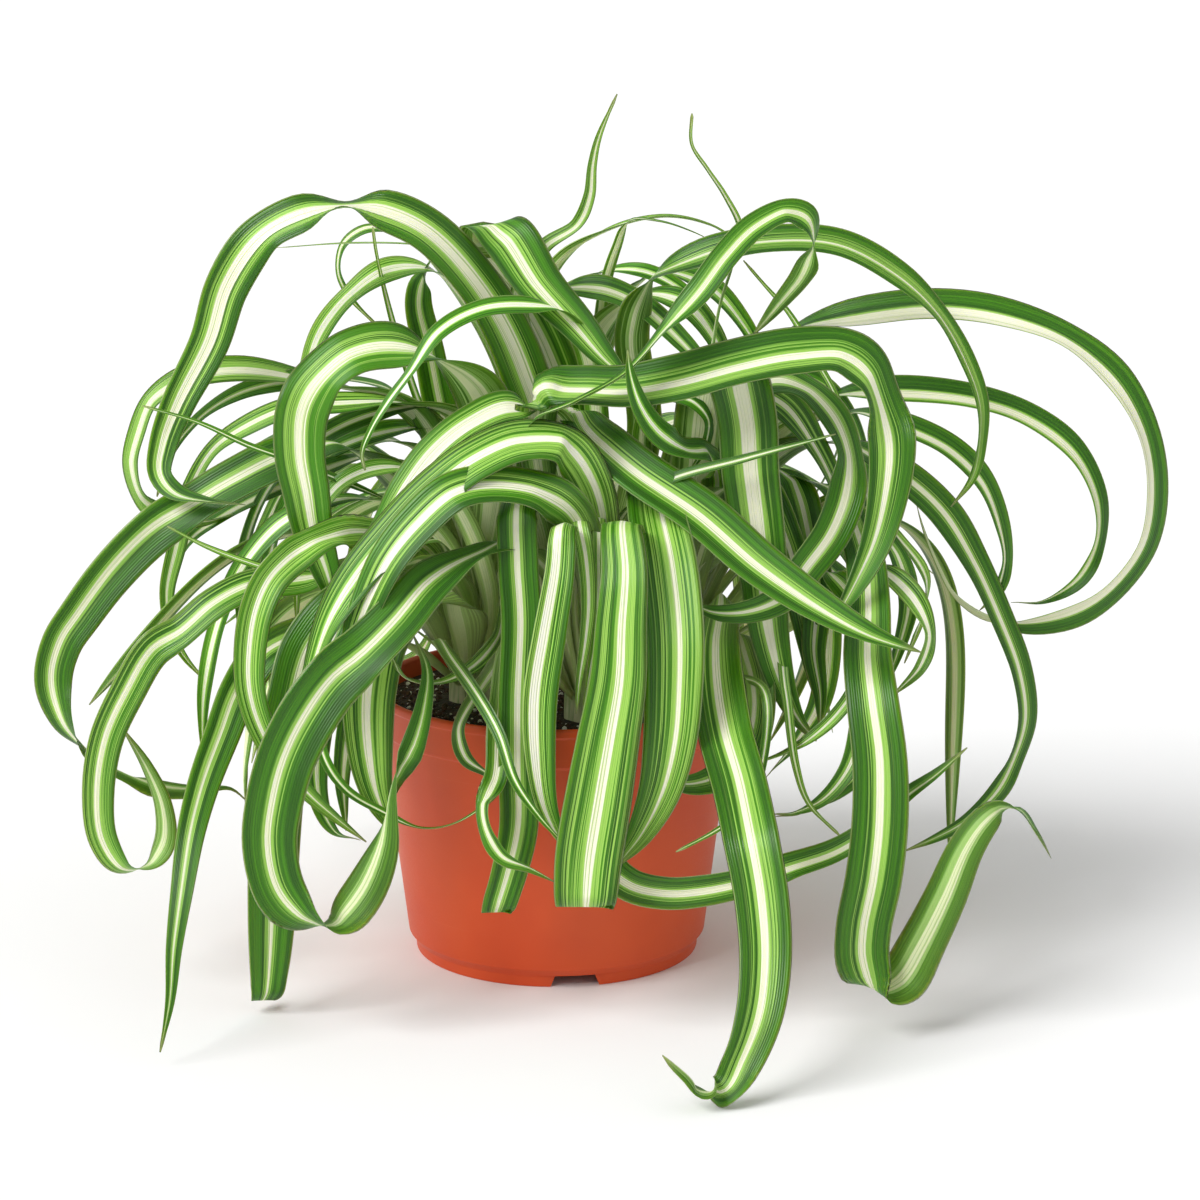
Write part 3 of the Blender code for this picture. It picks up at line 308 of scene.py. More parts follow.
    "plant_right": """
forward drop: 17.5 0.4 8 0.14 0.86 0.5 0
45 -15 105 B 52 -27 119 UB 53 -41 125 U 51 -57 119 UF 51 -72 109 F 53 -87 97 F 57 -105 85 F 60 -122 73 F
63 -131 57 F 64 -139 41 F 62 -147 26 F 57 -152 13 F 51 -155 5 FL 44 -157 5 LD 39 -157 10 LD 33 -155 16 LDB

upright drop: 20.5 0.35 5 0.24 0.86 0.4 0
44 -6 132 B 47 -14 167 B 50 -22 194 B 54 -28 203 UB 58 -35 198 FU 61 -38 185 F 62 -42 169 F 64 -46 154 F
66 -49 139 F 68 -52 120 F 72 -55 104 F 77 -57 93 F 83 -58 86 F

dark drop: 13 0.28 5 0.12 0.76 0.3 0
47 0 130 B 63 -8 165 UB 76 -16 162 U 82 -26 143 UF 84 -33 125 F 83 -37 110 F 85 -40 96 F 85 -41 85 F

inner hoop: 13 0.28 9 0.2 0.84 0.3 0
44 0 144 B 55 -8 179 UB 69 -16 194 UF 80 -22 193 UFR 89 -27 185 FR 94 -31 173 FR 93 -36 162 F 88 -42 150 F
80 -50 141 F 72 -58 133 F 61 -61 129 F 50 -62 129 F 42 -60 132 F

right fold: 18.5 0.65 7 0.13 0.86 0.4 0
54 4 129 B 73 -8 159 UB 90 -22 159 U 98 -38 144 UF 99 -54 130 F 98 -68 117 F 99 -79 105 F 101 -87 88 F
101 -93 71 F 99 -97 53 F 96 -98 37 F 96 -98 26 FD 100 -96 16 D 108 -93 18 DB 115 -91 30 B 122 -90 45 B
128 -89 60 B 134 -88 69 B 139 -87 73 BU 145 -87 72 U 151 -87 64 R 155 -86 56 R

long fall: 12.5 0.28 5 0.14 0.8 0.4 0
54 10 142 B 75 4 168 UB 94 -2 171 U 112 -6 162 UF 126 -9 150 UF 137 -12 133 FR 145 -14 116 FR
152 -16 98 FR 154 -18 82 FR 150 -20 68 FR 144 -22 58 F 134 -24 49 F 124 -26 44 F 114 -27 40 F

small hoop: 9.5 0.28 9 0.22 0.86 0.2 0.3
57 14 147 B 78 9 174 UB 98 6 180 U 114 4 176 UF 129 2 169 UF 140 1 158 FR 146 0 144 FR 148 -1 131 FR
145 -2 121 F 139 -3 115 FD

middle hoop: 10.5 0.28 5 0.3 0.84 0.2 0.4
61 22 156 B 77 18 178 UB 92 16 184 U 110 14 186 UF 136 12 184 UF 155 10 178 UF 171 9 166 FR 179 8 150 FR
179 7 135 FR 173 6 123 F 161 5 116 DF 150 4 116 D

dark curl: 11
44 -6 125 B 52 -20 161 UF 49 -32 174 FU 42 -40 177 FU 33 -50 184 F 27 -57 194 F 24 -60 204 F 23 -61 212 F

ring: 7
32 -4 145 B 28 -12 175 B 32 -18 188 U 43 -22 189 UF 49 -24 183 FR 48 -24 174 F 43 -22 165 F

thin tip: 5 0.28 3
47 16 165 R 51 14 195 R 54 12 214 R 58 11 228 R 60 10 239 FR 55 9 250 FR 49 8 259 FR 44 7 267 F 44 6 277 F

short thread: 3.6
93 0 174 U 83 5 200 UF 76 7 212 UF 68 8 221 UF 61 9 229 UF

pale twist: 6.5
73 -16 134 B 90 -28 143 U 100 -42 127 FR 99 -52 111 F 91 -58 97 F 79 -62 87 FU 67 -64 82 U 57 -65 80 U

crescent: 9.5
79 -24 136 B 94 -36 129 UF 99 -48 107 F 97 -56 90 F 93 -61 78 F 85 -65 69 F 76 -67 65 FD 69 -68 65 FD

thin drop: 3.6
69 -40 120 U 73 -58 103 F 76 -68 81 F 80 -73 70 F 90 -76 60 F

tucked leaf: 15 0.28 5 0.1 0.74 0.4 0
58 -40 114 U 63 -56 102 F 61 -68 89 F 53 -74 80 F 42 -76 77 F 32 -74 80 F

thin point: 3.4
66 -64 104 F 65 -76 83 F 60 -84 72 F 51 -88 66 F 38 -92 60 F

side drop 1: 9.5 0.28 5 0.14 0.8 0.4 0
83 -10 139 B 98 -20 150 U 109 -30 142 UFR 113 -37 127 F 110 -42 113 F 105 -45 99 F

side drop 2: 6
89 -6 152 B 102 -16 151 U 112 -24 143 U 119 -29 133 FR 119 -32 123 R 115 -35 113 F 112 -37 106 F

side drop 3: 9.5
89 -20 125 B 102 -34 137 U 113 -44 131 UF 119 -50 119 FR 116 -53 109 F 107 -55 100 F

inner fall 1: 14 0.28 5 0.13 0.84 0.6 0
37 -5 139 B 44 -7 176 UB 56 -8 192 U 73 -8 186 UF 85 -9 171 UFR 94 -9 151 FR 98 -10 130 F

inner fall 2: 10
39 6 136 B 49 12 172 UB 65 15 190 U 84 17 188 UF 97 17 176 UFR 103 16 154 FR 103 15 131 F

hidden fall: 12 0.28 6 0.12 0.8 0.4 0
38 -14 128 B 48 -22 156 UB 63 -28 164 UF 74 -32 145 F 80 -34 119 F 84 -35 93 F

low curl: 11
41 -6 122 B 58 -8 140 UB 80 -10 138 U 99 -12 121 UFR 107 -14 94 FR 104 -16 71 F 93 -18 57 FD 80 -18 50 D
72 -18 49 D

bent fall: 11
40 -2 121 B 52 -4 145 UB 71 -5 149 UF 85 -6 132 F 89 -7 109 F 87 -8 86 F 79 -8 71 FD 69 -8 59 D
""",
    "plant_back": """
back arc: 11.5
-9 24 172 B -22 20 206 UB -39 14 225 U -54 10 226 UF -67 6 218 UFL -77 7 205 FL -82 8 190 FL -84 9 174 FL
-84 9 155 F

upright fold: 12
-25 20 139 F -37 22 173 F -42 21 198 F -45 19 215 FU -41 16 228 U -33 17 233 U -23 22 228 UB

level thread: 3.6
-4 34 177 U -19 32 214 U -33 28 229 U -46 25 232 U -67 21 233 U -91 17 232 U

small crook: 5.5
-12 38 170 U -35 38 216 U -50 35 233 U -62 33 236 UF -70 32 231 LF -72 32 222 LF -68 32 213 F -59 33 203 F

stalk: 3
-41 14 171 F -51 11 201 F -55 9 217 F -58 8 232 F -59 8 240 F

great hoop: 12.5 0.28 6 0.42 0.92 0.2 0.5
48 30 164 B 64 28 195 UB 80 26 205 U 100 23 210 UF 123 20 213 UF 145 18 211 UF 168 16 203 UFR
185 14 189 FR 195 12 171 FR 198 10 152 FR 195 8 134 FR 184 6 119 FR 172 6 111 RF 154 7 107 DF 142 7 110 D
131 6 118 DL 124 5 131 L 120 4 142 L 118 4 150 L

high arc: 12 0.28 5 0.07 0.76 0.6 0.05
29 12 171 B 25 10 206 UB 31 8 223 U 47 5 232 UF 69 3 237 UF 92 1 236 UF 111 -1 226 UF 124 -3 214 UFR
133 -5 199 FR 138 -7 185 FR 138 -9 172 FR 135 -11 161 F 128 -13 152 F

folded thread: 4.6
14 32 167 B 14 30 198 B 16 27 217 B 20 25 231 BU 24 23 240 U 34 23 240 U 46 23 236 U 55 23 231 U

back thread: 6
-12 40 176 B -8 39 207 B 2 37 226 UB 18 36 236 U 36 36 240 U 51 36 237 U 63 36 229 UF

tall tip: 8 0.28 3
-5 14 182 B -12 12 216 B -4 10 233 UF 7 9 241 UF 11 8 250 F 12 8 260 F 14 8 269 F 20 8 283 F

broad shoulder: 20 0.28 7 0.16 0.96 0.5 0.1
3 20 170 F -4 17 197 F -15 13 218 F -25 8 233 FU -22 1 242 U -15 -5 239 UF -5 -12 225 UF 7 -18 213 UF
16 -23 203 UF 25 -27 195 UF

narrow arc: 8
14 -6 165 B 10 -12 203 UB 2 -18 217 U -8 -24 220 UF -23 -32 220 UF -36 -39 214 UF -45 -44 202 UFL
-52 -47 193 FL -57 -49 185 FL -60 -50 177 F -59 -51 172 F

pale band: 12
-12 26 175 B -8 24 203 UB 1 21 217 U 14 17 219 UF 28 13 214 UF 39 8 205 UF 48 3 195 UF 53 0 180 F

olive band: 8
-6 40 180 B 1 38 211 UB 14 36 221 U 29 33 222 UF 43 30 215 UF 53 26 204 UF 60 22 189 UF

fan band 1: 12 0.28 6
9 30 172 B 14 28 202 UB 28 26 215 U 42 24 213 UF 53 22 200 UF 59 20 182 F

fan band 2: 11 0.28 6
9 36 170 B 18 40 205 UB 33 43 220 U 50 45 216 UF 63 47 202 UF 72 48 183 F
""",
}

# The other leaves follow a rule: how many each plant has, and the bearings that they fan out over.
OTHER_LEAVES = {
    "plant_back": (12, (10.0, 170.0)),
    "plant_left": (7, (90.0, 215.0)),
    "plant_right": (6, (15.0, 100.0)),
}
OTHER_WIDTHS = (8.0, 15.0)
OTHER_SEED = 11
OTHER_TRIES = 150
OTHER_SPACE = 1.8
CROWN_REACH = 16.0
LOWEST = 4.0
POT_CLEAR_RADIUS = 63.0
POT_CLEAR_HEIGHT = 92.5

# ---- routes of the leaves


def catmull_rom(four, shares):
    """Points at these shares of the middle span of a centripetal Catmull-Rom curve through four rows."""
    gaps = np.sqrt(np.linalg.norm(np.diff(four[:, :3], axis=0), axis=1) + 1e-6)
    knots = np.concatenate([[0.0], np.cumsum(gaps)])
    at = (knots[1] + shares * (knots[2] - knots[1]))[:, None]

    def between(a, b, start, end):
        return ((end - at) * a + (at - start) * b) / (end - start)

    first = [between(four[i], four[i + 1], knots[i], knots[i + 1]) for i in range(3)]
    second = [between(first[i], first[i + 1], knots[i], knots[i + 2]) for i in range(2)]
    return between(second[0], second[1], knots[1], knots[2])


def even_rows(rows):
    """The rows of a curve at CURVE_ROWS equal steps of its length."""
    steps = np.linalg.norm(np.diff(rows[:, :3], axis=0), axis=1)
    length = np.concatenate([[0.0], np.cumsum(steps)])
    at = np.linspace(0.0, length[-1], CURVE_ROWS)
    return np.stack([np.interp(at, length, column) for column in rows.T], axis=1)


def drawn_route(text, crown):
    """Points and upper-side directions along a leaf from the text of its route, foot first."""
    rows = []
    for *point, way in np.reshape(text.split(), (-1, 4)):
        upper = np.sum([WAYS[letter] for letter in way], axis=0)
        rows.append(np.array([*map(float, point), *(upper / np.linalg.norm(upper))]))
    lean = rows[0][:2] - crown
    foot = [*(crown + LEAF_RING * lean / np.linalg.norm(lean)), LEAF_FOOT]
    rows.insert(0, np.concatenate([foot, rows[0][3:]]))
    rows = np.array([2 * rows[0] - rows[1], *rows, 2 * rows[-1] - rows[-2]])
    shares = np.arange(CURVE_STEPS) / CURVE_STEPS
    spans = [catmull_rom(rows[i : i + 4], shares) for i in range(len(rows) - 3)]
    return even_rows(np.vstack([*spans, rows[-2:-1]]))


def eased(share):
    """Rises from 0 to 1 as the share does, slowly at both ends."""
    share = np.clip(share, 0.0, 1.0)
    return share * share * (3 - 2 * share)


def grown_route(rng, crown, bearings):
    """A leaf by the rule: it rises from the crown, arches over, droops and may curl in at its tip."""
    bearing = np.radians(rng.uniform(*bearings))
    length = rng.uniform(120.0, 260.0)
    start = np.radians(rng.uniform(62.0, 88.0))
    droop = np.radians(rng.uniform(115.0, 170.0))
    curl = np.radians(rng.choice([0.0, 0.0, 60.0, 170.0]))
    sway = np.radians(rng.normal(0.0, 30.0))
    twist = np.radians(rng.normal(0.0, 55.0))
    share = np.linspace(0.0, 1.0, CURVE_ROWS)
    pitch = start - droop * eased(share / 0.8) - curl * eased((share - 0.6) / 0.4)
    heading = bearing + sway * share**2
    out = np.stack([np.cos(heading), np.sin(heading), np.zeros(CURVE_ROWS)], axis=1)
    up = np.array([0.0, 0.0, 1.0])
    along = out * np.cos(pitch)[:, None] + up * np.sin(pitch)[:, None]
    upper = up * np.cos(pitch)[:, None] - out * np.sin(pitch)[:, None]
    side = np.cross(along, upper)
    roll = (twist * share**1.5)[:, None]
    upper = upper * np.cos(roll) + side * np.sin(roll)
    foot = [*(crown + LEAF_RING * out[0, :2]), LEAF_FOOT]
    points = foot + np.cumsum(along, axis=0) * length / CURVE_ROWS
    return np.hstack([points, upper])


def widths(share, width, opening, bluntness):
    """Width along the leaf: it opens from its foot, stays even and runs out at the tip."""
    rise = FOOT_SHARE + (1 - FOOT_SHARE) * eased(share / opening)
    body = rise * np.clip(1 - share**bluntness, 0.0, 1.0) ** 0.8
    return np.maximum(width * body, TIP_WIDTH)


def bends_of(points):
    """The length of each step along a leaf, and the turn before it in radians."""
    steps = np.diff(points, axis=0)
    lengths = np.linalg.norm(steps, axis=1)
    along = steps / lengths[:, None]
    turns = np.arccos(np.clip((along[1:] * along[:-1]).sum(axis=1), -1.0, 1.0))
    return lengths, np.concatenate([[0.0], turns])


def shares_of(lengths, turns, count):
    """Where along a leaf its cross-sections go: closer together where it bends."""
    weight = lengths / lengths.sum() + turns / max(turns.sum(), 1e-6)
    done = np.concatenate([[0.0], np.cumsum(weight)]) / weight.sum()
    return np.interp(np.linspace(0.0, 1.0, count), done, np.linspace(0.0, 1.0, len(done)))


def sections(route, at):
    """Middle, upper and side directions of a leaf's cross-sections at these shares of its length."""
    rows = np.linspace(0.0, 1.0, len(route))
    rows = np.stack([np.interp(at, rows, column) for column in route.T], axis=1)
    along = np.gradient(rows[:, :3], axis=0)
    along /= np.linalg.norm(along, axis=1)[:, None]
    upper = rows[:, 3:] - (rows[:, 3:] * along).sum(axis=1)[:, None] * along
    upper /= np.linalg.norm(upper, axis=1)[:, None]
    return rows[:, :3], upper, np.cross(along, upper)


# Triangles between one cross-section's four corners and the next's
SKIN = ((0, 1, 5), (0, 5, 4), (3, 6, 2), (3, 7, 6), (1, 2, 6), (1, 6, 5), (3, 0, 4), (3, 4, 7))


def coarse_blade(route, width, opening, bluntness, thickness=BLADE):
    """Points and triangles of a leaf as a plain ribbon, to test whether leaves touch."""
    lengths, turns = bends_of(route[:, :3])
    count = 4 + np.degrees(turns.sum()) / SECTION_TURN + lengths.sum() / SECTION_SPACING
    at = shares_of(lengths, turns, int(np.clip(round(count), *SECTIONS)))
    middle, upper, side = sections(route, at)
    side = side * widths(at, width, opening, bluntness)[:, None] / 2
    lift = upper * thickness / 2
    corners = [middle - side + lift, middle + side + lift, middle + side - lift, middle - side - lift]
    points = np.stack(corners, axis=1).reshape(-1, 3)
    faces = [(0, 2, 1), (0, 3, 2)]
    last = len(points) - 4
    for at in range(0, last, 4):
        faces += [(at + i, at + j, at + k) for i, j, k in SKIN]
    return points, [*faces, (last, last + 1, last + 2), (last, last + 2, last + 3)]


def tree_of(points, faces):
    return BVHTree.FromPolygons(points.tolist(), faces)


def clear_of_others(route, width, plant, grown):
    """Whether a leaf keeps clear of the surface, the pot and every leaf outside its own crown."""
    points, faces = coarse_blade(route, width, OPENING, BLUNTNESS, OTHER_SPACE)
    outer = points[8:]
    over_pot = np.hypot(outer[:, 0], outer[:, 1]) < POT_CLEAR_RADIUS
    if min(outer[:, 2]) < LOWEST or min(outer[over_pot, 2], default=np.inf) < POT_CLEAR_HEIGHT:
        return False
    whole = tree_of(points, faces)
    from_foot = np.linalg.norm(points - route[0, :3], axis=1)
    past_crown = tree_of(points, [face for face in faces if from_foot[list(face)].min() > CROWN_REACH])
    return not any((past_crown if owner == plant else whole).overlap(tree) for owner, tree in grown)


def all_leaves():
    """Each plant's leaves as (leaf, look): the drawn ones, then the others that fit."""
    found = {plant: [] for plant in CROWNS}
    grown = []

    def keep(plant, leaf, look=()):
        found[plant].append((leaf, look))
        grown.append((plant, tree_of(*coarse_blade(*leaf))))

    for plant, table in LEAVES.items():
        for text in table.strip().split("\n\n"):
            head, route = text.split("\n", 1)
            numbers = [float(part) for part in head.split(": ")[1].split()]
            shape, look = (numbers + [OPENING, BLUNTNESS])[:3], numbers[3:]
            keep(plant, (drawn_route(route, np.array(CROWNS[plant])), *shape), look)
    rng = np.random.default_rng(OTHER_SEED)
    for plant, (count, bearings) in OTHER_LEAVES.items():
        for _ in range(count):
            for _ in range(OTHER_TRIES):
                route = grown_route(rng, np.array(CROWNS[plant]), bearings)
                width = rng.uniform(*OTHER_WIDTHS)
                if clear_of_others(route, width, plant, grown):
                    keep(plant, (route, width, OPENING, BLUNTNESS))
                    break
    return found


# ---- nodes and objects


def fill(tree, made, inputs):
    """Sets a node's inputs to constants or links them to outputs of other nodes."""
    for name, value in inputs.items():
        if isinstance(value, bpy.types.NodeSocket):
            tree.links.new(value, made.inputs[name])
        else:
            made.inputs[name].default_value = value
    return made


def node(tree, kind, inputs=None, **settings):
    made = tree.nodes.new(kind)
    for name, value in settings.items():
        setattr(made, name, value)
    return fill(tree, made, inputs or {})


class Look:
    """A material and its nodes."""

    def __init__(self, name):
        self.material = bpy.data.materials.new(name)
        self.material.use_nodes = True
        self.tree = self.material.node_tree

    def node(self, kind, inputs=None, **settings):
        return node(self.tree, kind, inputs, **settings)

    def spot(self):
        return self.node("ShaderNodeTexCoord").outputs["Object"]

    def stored(self, name):
        """The three parts of a value that the mesh holds on its points."""
        vector = self.node("ShaderNodeAttribute", attribute_name=name).outputs["Vector"]
        return self.node("ShaderNodeSeparateXYZ", {0: vector}).outputs

    def calc(self, operation, *values):
        return self.node("ShaderNodeMath", dict(enumerate(values)), operation=operation).outputs[0]

    def times(self, first, second, plus=0.0):
        return self.calc("MULTIPLY_ADD", first, second, plus)

    def step(self, value, low, high):
        """0 below low and 1 above high, eased between. With low over high, it falls."""
        ends = {1: low, 2: high} if low < high else {1: high, 2: low, 3: 1.0, 4: 0.0}
        settings = {"interpolation_type": "SMOOTHSTEP", "clamp": True}
        return self.node("ShaderNodeMapRange", {0: value, **ends}, **settings).outputs[0]

    def paint(self, factor, under, over):
        return self.node("ShaderNodeMix", {0: factor, 6: under, 7: over}, data_type="RGBA").outputs[2]

    def noise(self, vector, scale, detail=2.0, roughness=0.5):
        inputs = {"Vector": vector, "Scale": scale, "Detail": detail, "Roughness": roughness}
        return self.node("ShaderNodeTexNoise", inputs).outputs[0]

    def stretched(self, vector, scale):
        return self.node("ShaderNodeMapping", {"Vector": vector, "Scale": scale}).outputs[0]

    def xyz(self, x, y, z):
        return self.node("ShaderNodeCombineXYZ", {0: x, 1: y, 2: z}).outputs[0]

    def bump(self, height, distance, strength=1.0, **more):
        inputs = {"Height": height, "Distance": distance, "Strength": strength, **more}
        return self.node("ShaderNodeBump", inputs).outputs[0]

    def finished(self, inputs):
        """The material, with these inputs of its shader set."""
        fill(self.tree, self.tree.nodes["Principled BSDF"], inputs)
        return self.material


def rgb(red, green, blue):
    """A colour in linear light from the 0 to 255 values that a screen shows."""
    shown = np.array([red, green, blue]) / 255
    linear = np.where(shown < 0.04045, shown / 12.92, ((shown + 0.055) / 1.055) ** 2.4)
    return (*linear.tolist(), 1.0)


def placed(name, data):
    """A new object in the scene, with this mesh, lamp or camera."""
    item = bpy.data.objects.new(name, data)
    bpy.context.scene.collection.objects.link(item)
    return item


def shaped(name, shape):
    """A new object with the mesh of this bmesh, which is freed."""
    mesh = bpy.data.meshes.new(name)
    shape.to_mesh(mesh)
    shape.free()
    return placed(name, mesh)


def applied(item):
    """The object with its modifiers made part of its mesh."""
    graph = bpy.context.evaluated_depsgraph_get()
    mesh = bpy.data.meshes.new_from_object(item.evaluated_get(graph))
    item.modifiers.clear()
    item.data = mesh
    return item


# ---- leaves

# Colours of a leaf on its upper and its lower side. The lower side's are its own paler colours, with a
# greener cream that is painted light: the green of light shining through the leaves into their shade.
LEAF_COLOURS = {
    "margin": ((66, 130, 8), (88, 139, 30)),
    "deep": ((38, 90, 0), (62, 110, 10)),
    "lime": ((150, 196, 84), (156, 194, 106)),
    "cream": ((242, 243, 214), (226, 235, 188)),
    "cream_line": ((158, 186, 98), (164, 192, 116)),
    "rim": ((176, 210, 112), (172, 210, 118)),
    "foot": ((198, 214, 140), (198, 214, 140)),
    "tip": ((150, 160, 100), (150, 160, 100)),
}


def leaf_material(name, side, roughness, spread):
    """Stripes along the leaf: green margins, lime bands, a cream middle, and fine lines in each."""
    look = Look(name)
    calc, times, step = look.calc, look.times, look.step
    across, share, run = look.stored("place")
    seed, cream, veins = look.stored("kind")
    light, lines, shift = look.stored("look")
    offset = times(seed, 57.0)
    slow = times(run, 5.0)
    from_middle = calc("ABSOLUTE", across)

    def strands(count, detail, rough=0.5):
        """Noise drawn out along the leaf, and finer across it the higher the count."""
        return look.noise(look.xyz(times(across, count), slow, offset), 1.0, detail, rough)

    drift = times(look.noise(look.xyz(run, offset, 0.0), 26.0, 1.0), 0.14, -0.07)
    from_cream = calc("ABSOLUTE", calc("ADD", calc("SUBTRACT", across, shift), drift))
    cream_edge = times(cream, times(step(share, 1.0, 0.8), 0.6 * spread, 0.4 * spread))
    past = calc("SUBTRACT", from_cream, cream_edge)
    middle = step(past, 0.025, -0.015)
    streaks = strands(4.2, 3.0, 0.62)
    fine = times(step(strands(17.0, 2.0, 0.6), 0.47, 0.54), step(calc("DIVIDE", past, lines), 1.0, 0.6))
    dashes = times(step(strands(26.0, 1.0), 0.56, 0.64), times(middle, 0.75))

    colour = rgb(*LEAF_COLOURS["deep"][side])
    for part, factor in (
        ("margin", step(streaks, 0.4, 0.62)),
        ("lime", fine),
        ("lime", times(step(past, 0.16, 0.07), step(streaks, 0.3, 0.5))),
        ("cream", middle),
        ("cream_line", dashes),
        ("rim", times(step(from_middle, 0.93, 0.985), 0.55)),
        ("foot", times(step(run, 0.09, 0.01), 0.7)),
        ("tip", times(step(share, 0.965, 1.0), 0.7)),
    ):
        colour = look.paint(factor, colour, rgb(*LEAF_COLOURS[part][side]))
    value = times(light, times(strands(38.0, 2.0, 0.7), 0.44, 0.85))
    value = times(value, times(step(from_middle, 0.4, 0.95), -0.16, 1.0))
    shade = look.node("ShaderNodeHueSaturation", {"Value": value, "Color": colour})

    grain = look.noise(look.spot(), 2600.0, 2.0, 0.7)
    ribs = calc("COSINE", times(times(across, veins), 2 * np.pi))
    return look.finished({
        "Base Color": shade.outputs[0],
        "Roughness": times(grain, 0.34, roughness - 0.17),
        "Normal": look.bump(grain, 0.00005, 0.6, Normal=look.bump(ribs, 0.00004)),
        "Subsurface Weight": 0.35,
        "Subsurface Radius": (0.9, 1.0, 0.35),
        "Subsurface Scale": 0.0012,
        "Specular IOR Level": 0.36,
    })


def crown_material():
    """Pale leaf sheaths, whitish at the soil and greener upwards, with fine lines up them."""
    look = Look("pale_sheath")
    spot = look.spot()
    height = look.node("ShaderNodeSeparateXYZ", {0: spot}).outputs[2]
    lines = look.step(look.noise(look.stretched(spot, (900.0, 900.0, 40.0)), 1.0), 0.4, 0.65)
    colour = look.paint(look.step(height, 0.084, 0.1), rgb(226, 226, 190), rgb(140, 176, 84))
    colour = look.paint(look.times(lines, 0.5), colour, rgb(120, 158, 72))
    return look.finished({"Base Color": colour, "Normal": look.bump(lines, 0.0001), "Roughness": 0.5})


def crests(middle, upper):
    """How tightly a leaf bends away from its upper side: 0 where it runs straight, 1 at a sharp fold."""
    steps = np.gradient(middle, axis=0)
    lengths = np.linalg.norm(steps, axis=1)[:, None]
    turning = np.gradient(steps / lengths, axis=0) / lengths
    tight = np.clip(-CREST_GAIN * (turning * upper).sum(axis=1), 0.0, 1.0)
    for _ in range(3):
        tight = np.convolve(np.pad(tight, 1, mode="edge"), [0.25, 0.5, 0.25], mode="valid")
    return tight


def fine_leaf(route, width, opening, bluntness, look, rng):
    """A leaf's points in rings, and the values on them that its stripes read."""
    lengths, turns = bends_of(route[:, :3])
    length = lengths.sum()
    count = length / STATION_SPACING + np.degrees(turns.sum()) / STATION_TURN
    count = int(np.clip(count, *STATIONS))
    at = shares_of(lengths, turns, count)
    middle, upper, side = sections(route, at)
    half = widths(at, width, opening, bluntness) / 2
    half[-1] = FINE_TIP
    # The channel is deepest at the foot and the tip, and opens where the leaf bends over.
    fold = rng.uniform(*FOLDS) * (0.55 + 0.8 * eased(1 - at / 0.35) + 0.5 * eased((at - 0.75) / 0.25))
    fold = fold * (1 - (1.0 + 4.5 * eased(1 - at / 0.7)) * crests(middle, upper) ** 1.5)
    wave = rng.uniform(*WAVES) * np.sin(at * length / rng.uniform(*WAVE_LENGTHS) + rng.uniform(0, 6.3))
    lean = rng.uniform(*LEANS)

    def column(c, thick):
        channel = fold * (np.sqrt(c * c + 0.015) - 0.9) + lean * c * fold
        lift = channel * half + wave * c * abs(c) * np.minimum(1.0, half / 4)
        lift = lift - thick * (1 - 0.72 * abs(c)) * np.minimum(1.0, half / 2)
        return middle + side * (c * half * np.cos(fold * 0.8))[:, None] + upper * lift[:, None]

    below = COLUMNS[-2:0:-1]
    points = np.stack([column(c, 0.0) for c in COLUMNS] + [column(c, 0.5) for c in below], axis=1)
    points[..., 2] += max(0.0, LEAF_LOWEST - points[..., 2].min())
    across = np.concatenate([COLUMNS, below])
    drawn = (rng.uniform(*CREAMS), rng.uniform(*LIGHTS), rng.choice(LINES), rng.normal(0.0, SHIFT_SPREAD))
    cream, *others = look or drawn
    return {
        "points": points,
        "place": np.stack(np.broadcast_arrays(across, at[:, None], (at * length * MM)[:, None]), axis=-1),
        "kind": np.broadcast_to((rng.random(), cream, max(2.0, width / 1.7)), points.shape),
        "look": np.broadcast_to(others, points.shape),
    }


def crown_shape(name):
    """The sheathed stem at a plant's middle in rings, lobed by the leaf feet that wrap it."""
    heights = np.linspace(CROWN_FOOT, CROWN_TOP, CROWN_ROWS)[:, None]
    turn = np.linspace(0, 2 * np.pi, CROWN_SIDES, endpoint=False)
    share = (heights - CROWN_FOOT) / (CROWN_TOP - CROWN_FOOT)
    radius = CROWN_RADIUS + (CROWN_TOP_RADIUS - CROWN_RADIUS) * share
    radius = radius * (1 - 0.16 * np.abs(np.sin(2.5 * turn + 2.2 * share)) * share)
    radius = radius * np.where(share > 0.99, 0.72, 1.0)
    x, y = CROWNS[name]
    points = np.broadcast_arrays(x + radius * np.cos(turn), y + radius * np.sin(turn), heights)
    points = np.stack(points, axis=-1)
    flat = np.zeros_like(points)
    return {"points": points, "place": flat, "kind": flat, "look": flat}


def tube(rows, sides, start):
    """Faces between rings of points that are numbered from the start, then the two end caps."""
    corner = start + np.arange(sides)
    ring = np.arange(rows - 1)[:, None] * sides
    near, following = ring + corner, ring + np.roll(corner, -1)
    faces = np.stack([near, following, following + sides, near + sides], axis=-1).reshape(-1, 4)
    return [*faces.tolist(), corner[::-1].tolist(), (corner + sides * (rows - 1)).tolist()]


